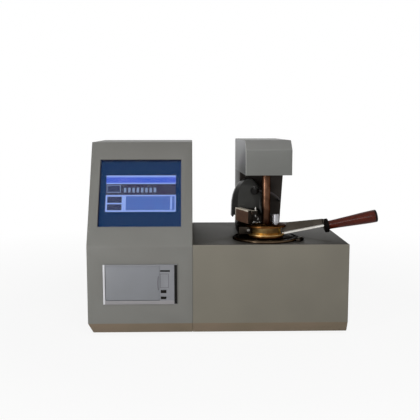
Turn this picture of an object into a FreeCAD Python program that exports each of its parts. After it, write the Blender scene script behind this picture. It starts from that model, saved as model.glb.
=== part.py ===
import FreeCAD, Part
import math
import os

# A closed-cup flash point tester: control console, furnace cabinet, test cup and lift arm with its lid.
# Millimetres. X runs to the right, Y to the back, Z up.
# The origin is the middle of the footprint, on the bench.

V = FreeCAD.Vector
VERTICAL = V(0, 0, 1)

# Sheet cases
console_width = 223.0
cabinet_width = 333.0
case_depth = 340.0
foot_height = 8.0
cabinet_height = 192.0
console_height = 405.0
crease_height = 189.0
bevel_height = 23.0
bevel_depth = 12.0
console_side_bevel = 9.6
panel_setback = 117.0
sheet = 1.5
pan_sheet = 2.0
lip_width = 12.0
panel_gap = 0.3
overrun = 5.0

# Where the furnace stands, and the small turn of the lift arm on the cabinet
furnace_from_seam = 162.8
furnace_from_front = 84.0
arm_turn = 2.0

# Screws
screw_radius = 1.9
screw_head_radius = 3.6
screw_head_height = 2.2
screw_length = 7.0
screw_gap = 0.2
panel_screw_margin = 18.0

# Rubber feet
foot_radius = 14.0
foot_taper = 2.0
foot_recess_radius = 5.0
foot_recess_depth = 4.0
foot_from_side = 40.0
foot_from_front = 56.0

# Screen, measured along the leaning panel from the crease
screen_from_left = 20.7
screen_from_crease = 44.6
screen_width = 178.0
screen_height = 158.0
screen_glass_margin = 8.0
screen_glass_thickness = 2.0
screen_module_margin = 5.0
screen_module_thickness = 9.0
screen_post_margin = 11.0
screen_post_radius = 2.6
screen_tray_margin = 14.0
screen_tray_sheet = 1.5

# Control board behind the screen
board_width = 150.0
board_height = 110.0
board_thickness = 1.6
board_standoff = 8.0
board_standoff_radius = 3.0
board_standoff_margin = 6.0
chip_height = 3.0
board_chip_shares = ((0.20, 0.70, 0.16, 0.20), (0.52, 0.66, 0.24, 0.24), (0.30, 0.28, 0.30, 0.14),
                     (0.80, 0.30, 0.12, 0.34))

# Power supply on the console's floor
supply_width = 98.0
supply_depth = 129.0
supply_height = 38.0
supply_from_left = 60.0
supply_from_front = 150.0
supply_sheet = 1.5
supply_block_depth = 12.0
supply_block_height = 14.0

# Panel printer
printer_from_left = 33.8
printer_from_case_bottom = 65.5
printer_width = 156.0
printer_height = 85.5
printer_proud = 3.0
printer_body_margin = 2.6
printer_body_depth = 62.0
printer_wall = 2.0
door_from_left = 5.3
door_from_top = 3.4
door_width = 114.0
door_height = 73.9
door_thickness = 2.5
door_recess = 1.0
door_gap = 0.4
door_stop = 2.0
door_pin_radius = 1.0
door_pin_length = 1.6
pin_gap = 0.1
bay_gap = 1.5
roll_radius = 22.0
roll_width = 57.0
roll_core_radius = 6.2
roll_from_front = 34.0
roll_from_floor = 26.5
spindle_radius = 5.9
platen_radius = 5.0
platen_length = 60.0
platen_shaft_radius = 2.0
platen_from_front = 14.0
platen_from_top = 8.5
end_gap = 0.3
window_from_left = 120.5
window_from_top = 12.0
window_width = 20.7
window_height = 3.5
window_depth = 1.2
label_from_left = 121.1
label_from_top = 20.3
label_width = 16.6
label_height = 28.7
label_depth = 0.4
button_from_left = 121.8
button_width = 11.4
feed_from_top = 54.7
feed_height = 6.2
select_from_top = 69.2
select_height = 4.6
button_proud = 1.5
button_gap = 0.3
button_flange = 0.8
button_flange_thickness = 1.2
button_stem_radius = 2.0
button_stem_length = 3.0

# Rear fittings of the console
inlet_from_left = 46.0
inlet_from_case_bottom = 70.0
inlet_width = 50.0
inlet_height = 30.0
inlet_flange = 2.0
inlet_body_depth = 32.0
inlet_margin = 2.5
socket_width = 25.0
socket_height = 17.0
socket_depth = 16.0
socket_from_side = 4.0
contact_width = 2.0
contact_height = 5.0
contact_length = 12.0
contact_pitch = 7.0
rocker_width = 11.0
rocker_height = 19.0
rocker_depth = 8.0
rocker_proud = 0.8
rocker_from_side = 5.0
rocker_gap = 0.5
rocker_tilt = 8.0
rocker_pin_radius = 1.2
rocker_pin_length = 1.6
rocker_well_depth = 12.0
vent_width = 3.0
vent_height = 34.0
vent_pitch = 9.0
vent_count = 12
console_vent_from_top = 60.0
cabinet_vent_from_top = 50.0

# Cooling fan on the cabinet's rear panel
fan_size = 80.0
fan_depth = 25.0
fan_bore_radius = 37.0
fan_hub_radius = 17.0
fan_tip_gap = 1.0
fan_blade_count = 7
fan_blade_thickness = 1.6
fan_blade_pitch = 35.0
fan_spider_width = 4.0
fan_spider_thickness = 3.0
fan_axle_radius = 2.0
fan_axle_gap = 0.1
fan_from_case_bottom = 96.0
fan_slot_width = 4.0
fan_slot_pitch = 8.0

# Furnace
furnace_hole_radius = 66.0
flange_radius = 73.5
flange_thickness = 5.0
flange_bore = 29.0
flange_chamfer = 1.5
seat_radius = 39.0
seat_height = 4.0
block_radius = 46.0
block_height = 70.0
well_radius = 27.8
well_depth = 37.0
band_thickness = 3.0
band_height = 50.0
insulation_thickness = 13.0
insulation_floor = 10.8
can_sheet = 1.2
can_gap = 0.5
stand_leg_radius = 4.0
stand_leg_circle = 52.0
stand_leg_count = 3
rest_from_centre = 74.5
rest_depth = 10.5
rest_width = 26.0
rest_height = 6.0
rest_angle = -27.0
rest_screw_pitch = 14.0

# Test cup
cup_inner_radius = 25.35
cup_outer_radius = 27.0
cup_depth = 56.0
cup_floor = 2.0
cup_flange_radius = 39.9
cup_flange_thickness = 3.0
cup_rim_above_flange = 15.7

# Handle of the cup
handle_tilt = 10.9
shank_root = 40.2
shank_root_height = 1.0
shank_length = 89.0
shank_strip = 3.5
shank_depth = 13.5
shank_web = 2.5
shank_web_start = 36.0
shank_web_start_height = 13.0
shank_lid_gap = 0.9
shank_plate_gap = 2.0
shank_web_rise = 23.0
shank_web_end_height = 15.5
shank_foot_start = 35.3
shank_foot_end = 46.0
shank_foot_thickness = 1.8
shank_end_plate = 2.0
tang_radius = 3.0
tang_gap = 0.2
collar_length = 9.0
collar_radius = 15.4
collar_chamfer = 1.2
grip_length = 104.3
grip_radius = 14.2
grip_radius_shares = ((0.0, 0.67), (0.12, 0.69), (0.45, 0.81), (0.80, 0.95), (1.0, 1.0))
cap_length = 5.2
cap_radius = 14.0
cap_fillet = 1.6

# Lid
lid_gap = 0.3
lid_pot_radius = 34.0
lid_pot_inner = 27.6
lid_plate_radius = 45.0
lid_plate_thickness = 3.0
lid_shaft_hole = 3.2
port_circle = 20.0
port_radius = 4.0
port_angles = (204.0, 270.0)
shutter_gap = 0.2
shutter_thickness = 1.5
shutter_radius = 43.0
shutter_start = 104.0
shutter_end = 286.0
shutter_slot_lead = 12.5
shutter_slot_span = 40.0
shutter_slot_half = 4.6
shutter_travel = 40.0
crank_circle = 48.0
crank_angle = 140.0
crank_arm = 28.0
crank_swing = 32.0
crank_pin_radius = 2.0
crank_pin_gap = 0.5
crank_width = 8.0
crank_thickness = 1.6
crank_spindle_radius = 2.0
crank_slot_inner = 17.0
crank_slot_outer = 25.4

# Drive block of the shutter, beside the lid
drive_height = 15.5
drive_outline_shares = ((-1.0, -0.23), (-0.577, -0.23), (-0.577, 0.262), (-0.492, 0.328),
                        (-0.426, 0.393), (-0.426, 0.82), (-1.0, 0.82))
drive_reach = 61.0
drive_screw_radius = 3.2
drive_screw_height = 2.4
drive_screw_from_end = 5.5

# Igniter
module_front_x = -42.0
module_front_y = -24.0
module_yaw = 18.7
module_length = 80.0
module_width = 12.0
module_height = 29.0
module_above_lid = 5.2
module_edge = 1.0
guide_block = 8.0
guide_height = 9.0
rod_radius = 1.2
rod_gap = 0.15
rod_x = -26.0
rod_y = -23.0
rod_top_above_lid = 42.0
rod_elbow_above_lid = 19.0
rod_tip_above_lid = 9.0
rod_bend_radius = 3.0
bead_radius = 2.2
bead_height = 4.0

# Arched housing on the column
arch_x = -33.4
arch_front = 41.0
arch_flare_depth = 25.0
arch_front_half = 24.5
arch_front_rise = 49.4
arch_front_spring = 281.0
arch_front_bottom = 263.0
arch_back_half = 35.5
arch_back_rise = 61.9
arch_back_spring = 268.0
arch_back_bottom = 240.0
arch_wall = 2.0
socket_x = -20.8
socket_z = 303.0
plug_flange_radius = 9.0
plug_flange_thickness = 2.0
plug_radius = 7.6
plug_length = 13.0
plug_elbow_length = 9.0
plug_elbow_radius = 4.5

# Leads, each a run of points from its start to its gland in the column's front wall, as shares of that way
lead_radius = 2.1
lead_reach_share = 0.45
gland_radius = 4.5
gland_length = 6.0
arm_lead_end = (42.0, 279.0)
arm_lead_route_shares = ((0.37, 0.0, 0.0), (0.77, 0.40, 0.52), (1.0, 0.72, 1.0))
probe_lead_end = (24.0, 241.0)
probe_lead_route_shares = ((0.0, 0.30, 0.0), (1.0, 0.70, 1.0))

# Temperature probe
probe_x = 22.5
probe_y = 1.0
ferrule_radius = 6.7
ferrule_height = 22.8
ferrule_collar_radius = 5.2
ferrule_collar_height = 3.0
probe_radius = 2.0
probe_depth = 44.0
probe_hole_gap = 0.2
probe_lead_height = 9.5

# Stirrer and its tube
tube_radius = 9.5
tube_wall = 1.5
stirrer_radius = 2.5
stirrer_above_floor = 2.5
blade_thickness = 1.2
blade_height = 5.0
lower_blade_reach = 17.0
upper_blade_reach = 9.5
upper_blade_rise = 26.0
blade_tilt = 30.0
hub_radius = 4.0
coupling_radius = 6.0
coupling_length = 21.0
coupling_gap = 0.05
motor_radius = 18.5
motor_height = 42.0

# Lift arm, measured from the furnace axis
head_half_width = 50.0
head_middle = -1.2
head_front = 52.0
head_bottom = 344.0
head_crease = 398.4
head_top = 418.5
head_slope = 20.0
arm_rear = 181.0
column_front_top = 66.0
column_front_bottom = 116.0
column_gap = 2.0
arm_sheet = 2.0
beam_thickness = 6.0
beam_half_width = 24.0
beam_wing_start = 70.0
beam_above_floor = 20.0
beam_hole_gap = 1.5
mast_size = 40.0
mast_wall = 3.0
mast_from_centre = 148.0
mast_slot_gap = 3.0

# Lift drive inside the cabinet
lift_travel = 120.0
lift_motor_size = 42.0
lift_motor_height = 30.0
lift_plate_thickness = 6.0
lift_plate_half_width = 60.0
lift_plate_half_depth = 32.0
lift_leg_radius = 4.0
lift_leg_margin = 7.0
carriage_half_width = 57.0
carriage_half_depth = 26.0
carriage_thickness = 14.0
carriage_rest_gap = 4.0
lift_top_clearance = 2.0
guide_spacing = 45.0
guide_radius = 6.0
guide_gap = 0.1
screw_major_radius = 6.0
screw_nut_gap = 0.1

# Places worked out from the sizes
handle_cos = math.cos(math.radians(handle_tilt))
handle_sin = math.sin(math.radians(handle_tilt))
collar_x = shank_root + shank_length + shank_end_plate
handle_length = collar_length + grip_length + cap_length
handle_reach = (collar_x + (handle_length - cap_fillet) * handle_cos
                + (cap_radius - cap_fillet) * handle_sin + cap_fillet)
seam_x = (console_width - furnace_from_seam - handle_reach) / 2
front_y = (printer_proud + button_proud - screw_head_height - case_depth) / 2
console_left = seam_x - console_width
cabinet_right = seam_x + cabinet_width
rear_y = front_y + case_depth
furnace_x = seam_x + furnace_from_seam
furnace_y = front_y + furnace_from_front

case_z = foot_height
floor_z = case_z + pan_sheet
bevel_z = case_z + bevel_height
crease_z = case_z + crease_height
cabinet_top_z = case_z + cabinet_height
console_top_z = case_z + console_height
panel_rise = console_top_z - crease_z
panel_lean = math.degrees(math.atan2(panel_setback, panel_rise))

flange_top_z = cabinet_top_z + flange_thickness
cup_seat_z = flange_top_z + seat_height
cup_flange_top_z = cup_seat_z + cup_flange_thickness
cup_rim_z = cup_flange_top_z + cup_rim_above_flange
cup_floor_z = cup_rim_z - cup_depth
cup_bottom_z = cup_floor_z - cup_floor
lid_rim_z = cup_flange_top_z + lid_gap
lid_ceiling_z = cup_rim_z + lid_gap
lid_top_z = lid_ceiling_z + lid_plate_thickness
shutter_z = lid_top_z + shutter_gap
crank_z = shutter_z + shutter_thickness + shutter_gap

beam_z = head_bottom + arm_sheet + beam_above_floor
beam_top_z = beam_z + beam_thickness
column_bottom_z = cabinet_top_z + column_gap
lift_base_z = floor_z + lift_motor_height
lift_base_top_z = lift_base_z + lift_plate_thickness
carriage_z = lift_base_top_z + carriage_rest_gap
carriage_top_z = carriage_z + carriage_thickness
lift_top_z = carriage_top_z + lift_travel + lift_top_clearance
screw_top_z = carriage_top_z + lift_travel


def box(x0, x1, y0, y1, z0, z1):
    """A block between two corners."""
    return Part.makeBox(x1 - x0, y1 - y0, z1 - z0, V(x0, y0, z0))


def post(x, y, z0, z1, radius):
    """An upright round bar."""
    return Part.makeCylinder(radius, z1 - z0, V(x, y, z0), VERTICAL)


def ring(x, y, z0, z1, outer, inner):
    """An upright round sleeve."""
    return post(x, y, z0, z1, outer).cut(post(x, y, z0 - overrun, z1 + overrun, inner))


def bar_x(x0, x1, y, z, radius):
    """A round bar along X."""
    return Part.makeCylinder(radius, x1 - x0, V(x0, y, z), V(1, 0, 0))


def bar_y(y0, y1, x, z, radius):
    """A round bar along Y."""
    return Part.makeCylinder(radius, y1 - y0, V(x, y0, z), V(0, 1, 0))


def slab(points, travel):
    """A flat outline, given by its 3D points, pushed along a vector."""
    return Part.Face(Part.makePolygon(points + points[:1])).extrude(travel)


def prism_x(outline, x0, x1):
    """A (y, z) outline pushed along X."""
    return slab([V(x0, y, z) for y, z in outline], V(x1 - x0, 0, 0))


def prism_y(outline, y0, y1):
    """An (x, z) outline pushed along Y."""
    return slab([V(x, y0, z) for x, z in outline], V(0, y1 - y0, 0))


def prism_z(outline, z0, z1):
    """An (x, y) outline pushed along Z."""
    return slab([V(x, y, z0) for x, y in outline], V(0, 0, z1 - z0))


def inset(outline, distance):
    """Moves every side of an anticlockwise outline inwards."""
    moved = []
    for (ax, ay), (bx, by) in zip(outline, outline[1:] + outline[:1]):
        length = math.hypot(bx - ax, by - ay)
        nx, ny = -(by - ay) / length, (bx - ax) / length
        moved.append((ax + nx * distance, ay + ny * distance, bx - ax, by - ay))
    corners = []
    for (ax, ay, adx, ady), (bx, by, bdx, bdy) in zip(moved[-1:] + moved[:-1], moved):
        t = ((bx - ax) * bdy - (by - ay) * bdx) / (adx * bdy - ady * bdx)
        corners.append((ax + adx * t, ay + ady * t))
    return corners


def turned(shape, x, y, z, axis, angle):
    """A copy of a shape, turned about an axis through a point."""
    copy = shape.copy()
    copy.rotate(V(x, y, z), axis, angle)
    return copy


def polar(radius, angle):
    """The (x, y) of a point on a circle about the furnace axis, at an angle in degrees."""
    return radius * math.cos(math.radians(angle)), radius * math.sin(math.radians(angle))


def on_panel(shape):
    """Lays a shape, drawn upright with its face at y = 0 and its foot at z = 0, on the leaning panel."""
    place = FreeCAD.Placement(V(0, front_y, crease_z), FreeCAD.Rotation(V(1, 0, 0), -panel_lean))
    moved = shape.copy()
    moved.Placement = place.multiply(moved.Placement)
    return moved


def on_furnace(shape):
    """Moves a shape drawn about the furnace axis to its place."""
    moved = shape.copy()
    moved.translate(V(furnace_x, furnace_y, 0))
    return moved


def on_arm(shape):
    """Moves a shape of the lift arm, drawn about the furnace axis, to its place with the arm's turn."""
    return on_furnace(turned(shape, 0, 0, 0, VERTICAL, arm_turn))


def lead(start, end, route_shares, radius):
    """A round lead along straight runs joined by tangent arcs, with its length and its arcs' radii."""
    way = end - start
    middle = [start + V(x * way.x, y * way.y, z * way.z) for x, y, z in route_shares]
    corners = [start] + middle + [end]
    edges = []
    bends = []
    run_start = start
    for before, here, after in zip(corners, corners[1:], corners[2:]):
        arriving, leaving = (here - before).normalize(), (after - here).normalize()
        half = arriving.getAngle(leaving) / 2
        reach = lead_reach_share * min((here - before).Length, (after - here).Length)
        bend = reach / math.tan(half)
        inwards = (leaving - arriving).normalize()
        crown = here + inwards * (bend / math.cos(half) - bend)
        arc_start, arc_end = here - arriving * reach, here + leaving * reach
        edges.append(Part.LineSegment(run_start, arc_start).toShape())
        edges.append(Part.Arc(arc_start, crown, arc_end).toShape())
        bends.append(round(bend, 1))
        run_start = arc_end
    edges.append(Part.LineSegment(run_start, end).toShape())
    path = Part.Wire(edges)
    section = Part.Wire(Part.Circle(start, corners[1] - start, radius).toShape())
    return path.makePipeShell([section], True, False), path.Length, bends


def save(node, shape):
    """Writes one piece, or one group of alike pieces, to its file."""
    if not shape.isValid() or not shape.Solids:
        raise ValueError(node + " is not a sound solid")
    shape.exportStep("parts/" + node + ".step")
    print(node, len(shape.Solids), round(shape.Volume))


def case_shell(upper_outline, x0, x1):
    """A folded case, open below and at the back, with a lip round the back for its panel."""
    outline = [(front_y, bevel_z), (rear_y, bevel_z)] + upper_outline
    opened = [(front_y, bevel_z - overrun), (rear_y + overrun, bevel_z - overrun)]
    opened += [(y + overrun if y == rear_y else y, z) for y, z in upper_outline]
    shell = prism_x(outline, x0, x1).cut(prism_x(inset(opened, sheet), x0 + sheet, x1 - sheet))
    top = upper_outline[0][1]
    lip_y0, lip_y1 = rear_y - 2 * sheet, rear_y - sheet
    for lip_x in (x0 + sheet, x1 - sheet - lip_width):
        shell = shell.fuse(box(lip_x, lip_x + lip_width, lip_y0, lip_y1, bevel_z, top - sheet))
    return shell.fuse(box(x0 + sheet, x1 - sheet, lip_y0, lip_y1, top - sheet - lip_width, top - sheet))


def tapered_block(x0, x1, y0, y1, z0, z1, left, front):
    """A block whose foot is drawn in at the left and at the front."""
    foot = [V(x0 + left, y0 + front, z0), V(x1, y0 + front, z0), V(x1, y1, z0), V(x0 + left, y1, z0)]
    head = [V(x0, y0, z1), V(x1, y0, z1), V(x1, y1, z1), V(x0, y1, z1)]
    wires = [Part.makePolygon(points + points[:1]) for points in (foot, head)]
    return Part.makeLoft(wires, True, True)


def case_pan(x0, x1, left, feet):
    """A bottom pan with a bevelled front, and a bevelled left side where one is given."""
    pan = tapered_block(x0, x1, front_y, rear_y, case_z, bevel_z, left, bevel_depth)
    inner_share = (bevel_z + overrun - floor_z) / bevel_height
    over_share = overrun / bevel_height
    pan = pan.cut(tapered_block(x0 + pan_sheet - left * over_share, x1 - pan_sheet,
                                front_y + pan_sheet - bevel_depth * over_share, rear_y - pan_sheet, floor_z,
                                bevel_z + overrun, left * inner_share, bevel_depth * inner_share))
    for x, y in feet:
        pan = pan.cut(post(x, y, case_z - overrun, floor_z + overrun, screw_radius + screw_gap))
    return pan


def feet_places(x0, x1):
    """The four foot places of one case."""
    rows = (front_y + foot_from_front, rear_y - foot_from_front)
    return [(x, y) for x in (x0 + foot_from_side, x1 - foot_from_side) for y in rows]


def panel_screw_places(x0, x1, top):
    """Where a rear panel is screwed to its case's lip, as (x, z)."""
    columns = (x0 + sheet + lip_width / 2, x1 - sheet - lip_width / 2)
    rows = (bevel_z + panel_screw_margin, (bevel_z + top) / 2, top - panel_screw_margin)
    return [(x, z) for x in columns for z in rows]


def drill_panel_screws(shape, places):
    """Clears the panel screws' holes in a shape."""
    for x, z in places:
        shape = shape.cut(bar_y(rear_y - screw_length - overrun, rear_y + overrun, x, z,
                                screw_radius + screw_gap))
    return shape


def rear_panel(x0, x1, top, vent_x, vent_top):
    """A flat rear panel between the case's walls, with a row of upright vents."""
    panel = box(x0 + sheet + panel_gap, x1 - sheet - panel_gap, rear_y - sheet, rear_y, bevel_z,
                top - sheet - panel_gap)
    for i in range(vent_count):
        middle = vent_x + (i - (vent_count - 1) / 2) * vent_pitch
        panel = panel.cut(box(middle - vent_width / 2, middle + vent_width / 2, rear_y - overrun,
                              rear_y + overrun, vent_top - vent_height, vent_top))
    return panel


console_screws = panel_screw_places(console_left, seam_x, console_top_z)
cabinet_screws = panel_screw_places(seam_x, cabinet_right, cabinet_top_z)
console_feet = feet_places(console_left, seam_x)
cabinet_feet = feet_places(seam_x, cabinet_right)

printer_x = console_left + printer_from_left
printer_right = printer_x + printer_width
printer_z = case_z + printer_from_case_bottom
printer_top = printer_z + printer_height
printer_face = front_y - printer_proud
body_x0, body_x1 = printer_x + printer_body_margin, printer_right - printer_body_margin
body_z0, body_z1 = printer_z + printer_body_margin, printer_top - printer_body_margin

screen_x = console_left + screen_from_left
screen_back = sheet + screen_glass_thickness + screen_module_thickness


def screen_block(margin, y0, y1):
    """An upright block round the screen's opening, with a margin."""
    return box(screen_x - margin, screen_x + screen_width + margin, y0, y1,
               screen_from_crease - margin, screen_from_crease + screen_height + margin)


def make_console():
    """The console's shell, pan and rear panel."""
    outline = [(rear_y, console_top_z), (front_y + panel_setback, console_top_z), (front_y, crease_z)]
    shell = case_shell(outline, console_left, seam_x)
    shell = shell.cut(on_panel(screen_block(0, -overrun, sheet + overrun)))
    shell = shell.cut(box(body_x0 - panel_gap, body_x1 + panel_gap, front_y - overrun, front_y + overrun,
                          body_z0 - panel_gap, body_z1 + panel_gap))
    save("console_shell", drill_panel_screws(shell, console_screws).removeSplitter())
    save("console_base", case_pan(console_left, seam_x, console_side_bevel, console_feet))
    panel = rear_panel(console_left, seam_x, console_top_z, (console_left + seam_x) / 2,
                       console_top_z - console_vent_from_top)
    panel = panel.cut(box(inlet_x + inlet_margin, inlet_x + inlet_width - inlet_margin, rear_y - overrun,
                          rear_y + overrun, inlet_z + inlet_margin, inlet_z + inlet_height - inlet_margin))
    save("console_rear_panel", drill_panel_screws(panel, console_screws))


def make_screen():
    """The glass, the display module on its tray, and the control board behind it."""
    glass = screen_block(screen_glass_margin, sheet, sheet + screen_glass_thickness)
    save("screen_glass", on_panel(glass))
    module = screen_block(screen_module_margin, sheet + screen_glass_thickness, screen_back)
    save("screen_module", on_panel(module))
    tray = screen_block(screen_tray_margin, screen_back, screen_back + screen_tray_sheet)
    for x in (screen_x - screen_post_margin, screen_x + screen_width + screen_post_margin):
        for z in (screen_from_crease - screen_post_margin,
                  screen_from_crease + screen_height + screen_post_margin):
            tray = tray.fuse(bar_y(sheet, screen_back, x, z, screen_post_radius))
    save("screen_tray", on_panel(tray))

    board_x = screen_x + (screen_width - board_width) / 2
    board_z = screen_from_crease + (screen_height - board_height) / 2
    standoff_y = screen_back + screen_tray_sheet
    board_y = standoff_y + board_standoff
    board = box(board_x, board_x + board_width, board_y, board_y + board_thickness,
                board_z, board_z + board_height)
    pieces = [board]
    for x in (board_x + board_standoff_margin, board_x + board_width - board_standoff_margin):
        for z in (board_z + board_standoff_margin, board_z + board_height - board_standoff_margin):
            pieces.append(bar_y(standoff_y, board_y, x, z, board_standoff_radius))
    for across, up, wide, high in board_chip_shares:
        x, z = board_x + across * board_width, board_z + up * board_height
        half_x, half_z = wide * board_width / 2, high * board_height / 2
        pieces.append(box(x - half_x, x + half_x, board_y + board_thickness,
                          board_y + board_thickness + chip_height, z - half_z, z + half_z))
    save("control_board", on_panel(Part.makeCompound(pieces)))


def make_supply():
    """The boxed power supply, with its terminal block, on the console's floor."""
    x, y = console_left + supply_from_left, front_y + supply_from_front
    case = box(x, x + supply_width, y, y + supply_depth, floor_z, floor_z + supply_height)
    recess = box(x + supply_sheet, x + supply_width - supply_sheet, y - overrun, y + supply_block_depth,
                 floor_z + supply_sheet, floor_z + supply_height + overrun)
    block = box(x + supply_sheet, x + supply_width - supply_sheet, y, y + supply_block_depth,
                floor_z + supply_sheet, floor_z + supply_sheet + supply_block_height)
    save("power_supply", case.cut(recess).fuse(block))


door_x = printer_x + door_from_left
door_top = printer_top - door_from_top
door_z = door_top - door_height
door_face = printer_face + door_recess
door_back = door_face + door_thickness
hinge_y = door_face + door_thickness / 2
hinge_z = door_z + door_thickness / 2
cavity_x0, cavity_x1 = door_x + door_stop, door_x + door_width - door_stop
cavity_z0, cavity_z1 = door_z + door_stop, door_top - door_stop
cavity_back = front_y + printer_body_depth - printer_wall
roll_y, roll_z = front_y + roll_from_front, cavity_z0 + roll_from_floor
platen_y, platen_z = front_y + platen_from_front, cavity_z1 - platen_from_top


def button(top, height):
    """One push button: cap, flange behind the face, and stem."""
    x0, x1 = printer_x + button_from_left, printer_x + button_from_left + button_width
    z0, z1 = printer_top - top - height, printer_top - top
    cap = box(x0, x1, printer_face - button_proud, front_y, z0, z1)
    flange = box(x0 - button_flange, x1 + button_flange, front_y, front_y + button_flange_thickness,
                 z0 - button_flange, z1 + button_flange)
    stem = bar_y(front_y + button_flange_thickness, front_y + button_flange_thickness + button_stem_length,
                 (x0 + x1) / 2, (z0 + z1) / 2, button_stem_radius)
    hole = box(x0 - button_gap, x1 + button_gap, printer_face - overrun, front_y + overrun,
               z0 - button_gap, z1 + button_gap)
    return cap.fuse([flange, stem]), hole


def make_printer():
    """The printer's housing, door, buttons, paper roll and platen."""
    housing = box(printer_x, printer_right, printer_face, front_y, printer_z, printer_top)
    housing = housing.fuse(box(body_x0, body_x1, front_y, front_y + printer_body_depth, body_z0, body_z1))
    housing = housing.cut(box(door_x - door_gap, door_x + door_width + door_gap, printer_face - overrun,
                              door_back + panel_gap, door_z - door_gap, door_top + door_gap))
    housing = housing.cut(box(cavity_x0, cavity_x1, door_back, cavity_back, cavity_z0, cavity_z1))
    bay_x0 = door_x + door_width + bay_gap
    housing = housing.cut(box(bay_x0, body_x1 - printer_wall, front_y, front_y + printer_body_depth + overrun,
                              body_z0 + printer_wall, body_z1 - printer_wall))
    pin_reach = door_pin_length + door_gap
    housing = housing.cut(bar_x(door_x - pin_reach, door_x + door_width + pin_reach, hinge_y, hinge_z,
                                door_pin_radius + pin_gap))
    window_x, window_z = printer_x + window_from_left, printer_top - window_from_top - window_height
    window = box(window_x, window_x + window_width, printer_face - overrun, printer_face + window_depth,
                 window_z, window_z + window_height)
    label_x, label_top = printer_x + label_from_left, printer_top - label_from_top
    label = box(label_x, label_x + label_width, printer_face - overrun, printer_face + label_depth,
                label_top - label_height, label_top)
    feed, feed_hole = button(feed_from_top, feed_height)
    select, select_hole = button(select_from_top, select_height)
    save("printer_housing", housing.cut([window, label, feed_hole, select_hole]))
    save("feed_button", feed)
    save("select_button", select)

    door = box(door_x, door_x + door_width, door_face, door_back, hinge_z, door_top)
    door = door.fuse(bar_x(door_x, door_x + door_width, hinge_y, hinge_z, door_thickness / 2))
    pins = bar_x(door_x - door_pin_length, door_x + door_width + door_pin_length, hinge_y, hinge_z,
                 door_pin_radius)
    save("printer_door", door.fuse(pins).removeSplitter())

    middle = (cavity_x0 + cavity_x1) / 2
    roll = bar_x(middle - roll_width / 2, middle + roll_width / 2, roll_y, roll_z, roll_radius)
    save("paper_roll", roll.cut(bar_x(cavity_x0, cavity_x1, roll_y, roll_z, roll_core_radius)))
    save("roll_spindle", bar_x(cavity_x0, cavity_x1, roll_y, roll_z, spindle_radius))
    platen = bar_x(middle - platen_length / 2, middle + platen_length / 2, platen_y, platen_z, platen_radius)
    shaft = bar_x(cavity_x0 + end_gap, cavity_x1 - end_gap, platen_y, platen_z, platen_shaft_radius)
    save("platen_roller", platen.fuse(shaft))


inlet_x = console_left + inlet_from_left
inlet_z = case_z + inlet_from_case_bottom
rocker_x = inlet_x + rocker_from_side
rocker_z = inlet_z + inlet_height / 2
rocker_y = rear_y - rocker_depth / 2 + rocker_proud


def make_rear_fittings():
    """The mains inlet and its switch."""
    inlet = box(inlet_x, inlet_x + inlet_width, rear_y, rear_y + inlet_flange,
                inlet_z, inlet_z + inlet_height)
    inner = inlet_margin + panel_gap
    inlet = inlet.fuse(box(inlet_x + inner, inlet_x + inlet_width - inner, rear_y - inlet_body_depth, rear_y,
                           inlet_z + inner, inlet_z + inlet_height - inner))
    socket_x0 = inlet_x + inlet_width - socket_from_side - socket_width
    socket_z0 = inlet_z + (inlet_height - socket_height) / 2
    inlet = inlet.cut(box(socket_x0, socket_x0 + socket_width, rear_y - socket_depth, rear_y + overrun,
                          socket_z0, socket_z0 + socket_height))
    middle_x, middle_z = socket_x0 + socket_width / 2, socket_z0 + socket_height / 2
    for step in (-1, 0, 1):
        x = middle_x + step * contact_pitch
        inlet = inlet.fuse(box(x - contact_width / 2, x + contact_width / 2, rear_y - socket_depth,
                               rear_y - socket_depth + contact_length,
                               middle_z - contact_height / 2, middle_z + contact_height / 2))
    half = rocker_height / 2
    well = box(rocker_x - rocker_gap, rocker_x + rocker_width + rocker_gap, rear_y - rocker_well_depth,
               rear_y + overrun, rocker_z - half - rocker_gap, rocker_z + half + rocker_gap)
    pin_x0, pin_x1 = rocker_x - rocker_pin_length, rocker_x + rocker_width + rocker_pin_length
    pins = bar_x(pin_x0, pin_x1, rocker_y, rocker_z, rocker_pin_radius)
    holes = bar_x(pin_x0 - rocker_gap, pin_x1 + rocker_gap, rocker_y, rocker_z, rocker_pin_radius + pin_gap)
    save("mains_inlet", inlet.cut([well, holes]))
    rocker = bar_x(rocker_x, rocker_x + rocker_width, rocker_y, rocker_z, half)
    rocker = rocker.common(box(rocker_x, rocker_x + rocker_width, rocker_y - rocker_depth / 2,
                               rocker_y + rocker_depth / 2, rocker_z - half, rocker_z + half))
    save("power_rocker", turned(rocker.fuse(pins), rocker_x, rocker_y, rocker_z, V(1, 0, 0), -rocker_tilt))


fan_x = furnace_x
fan_z = case_z + fan_from_case_bottom
fan_y0, fan_y1 = rear_y - sheet - fan_depth, rear_y - sheet


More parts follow.
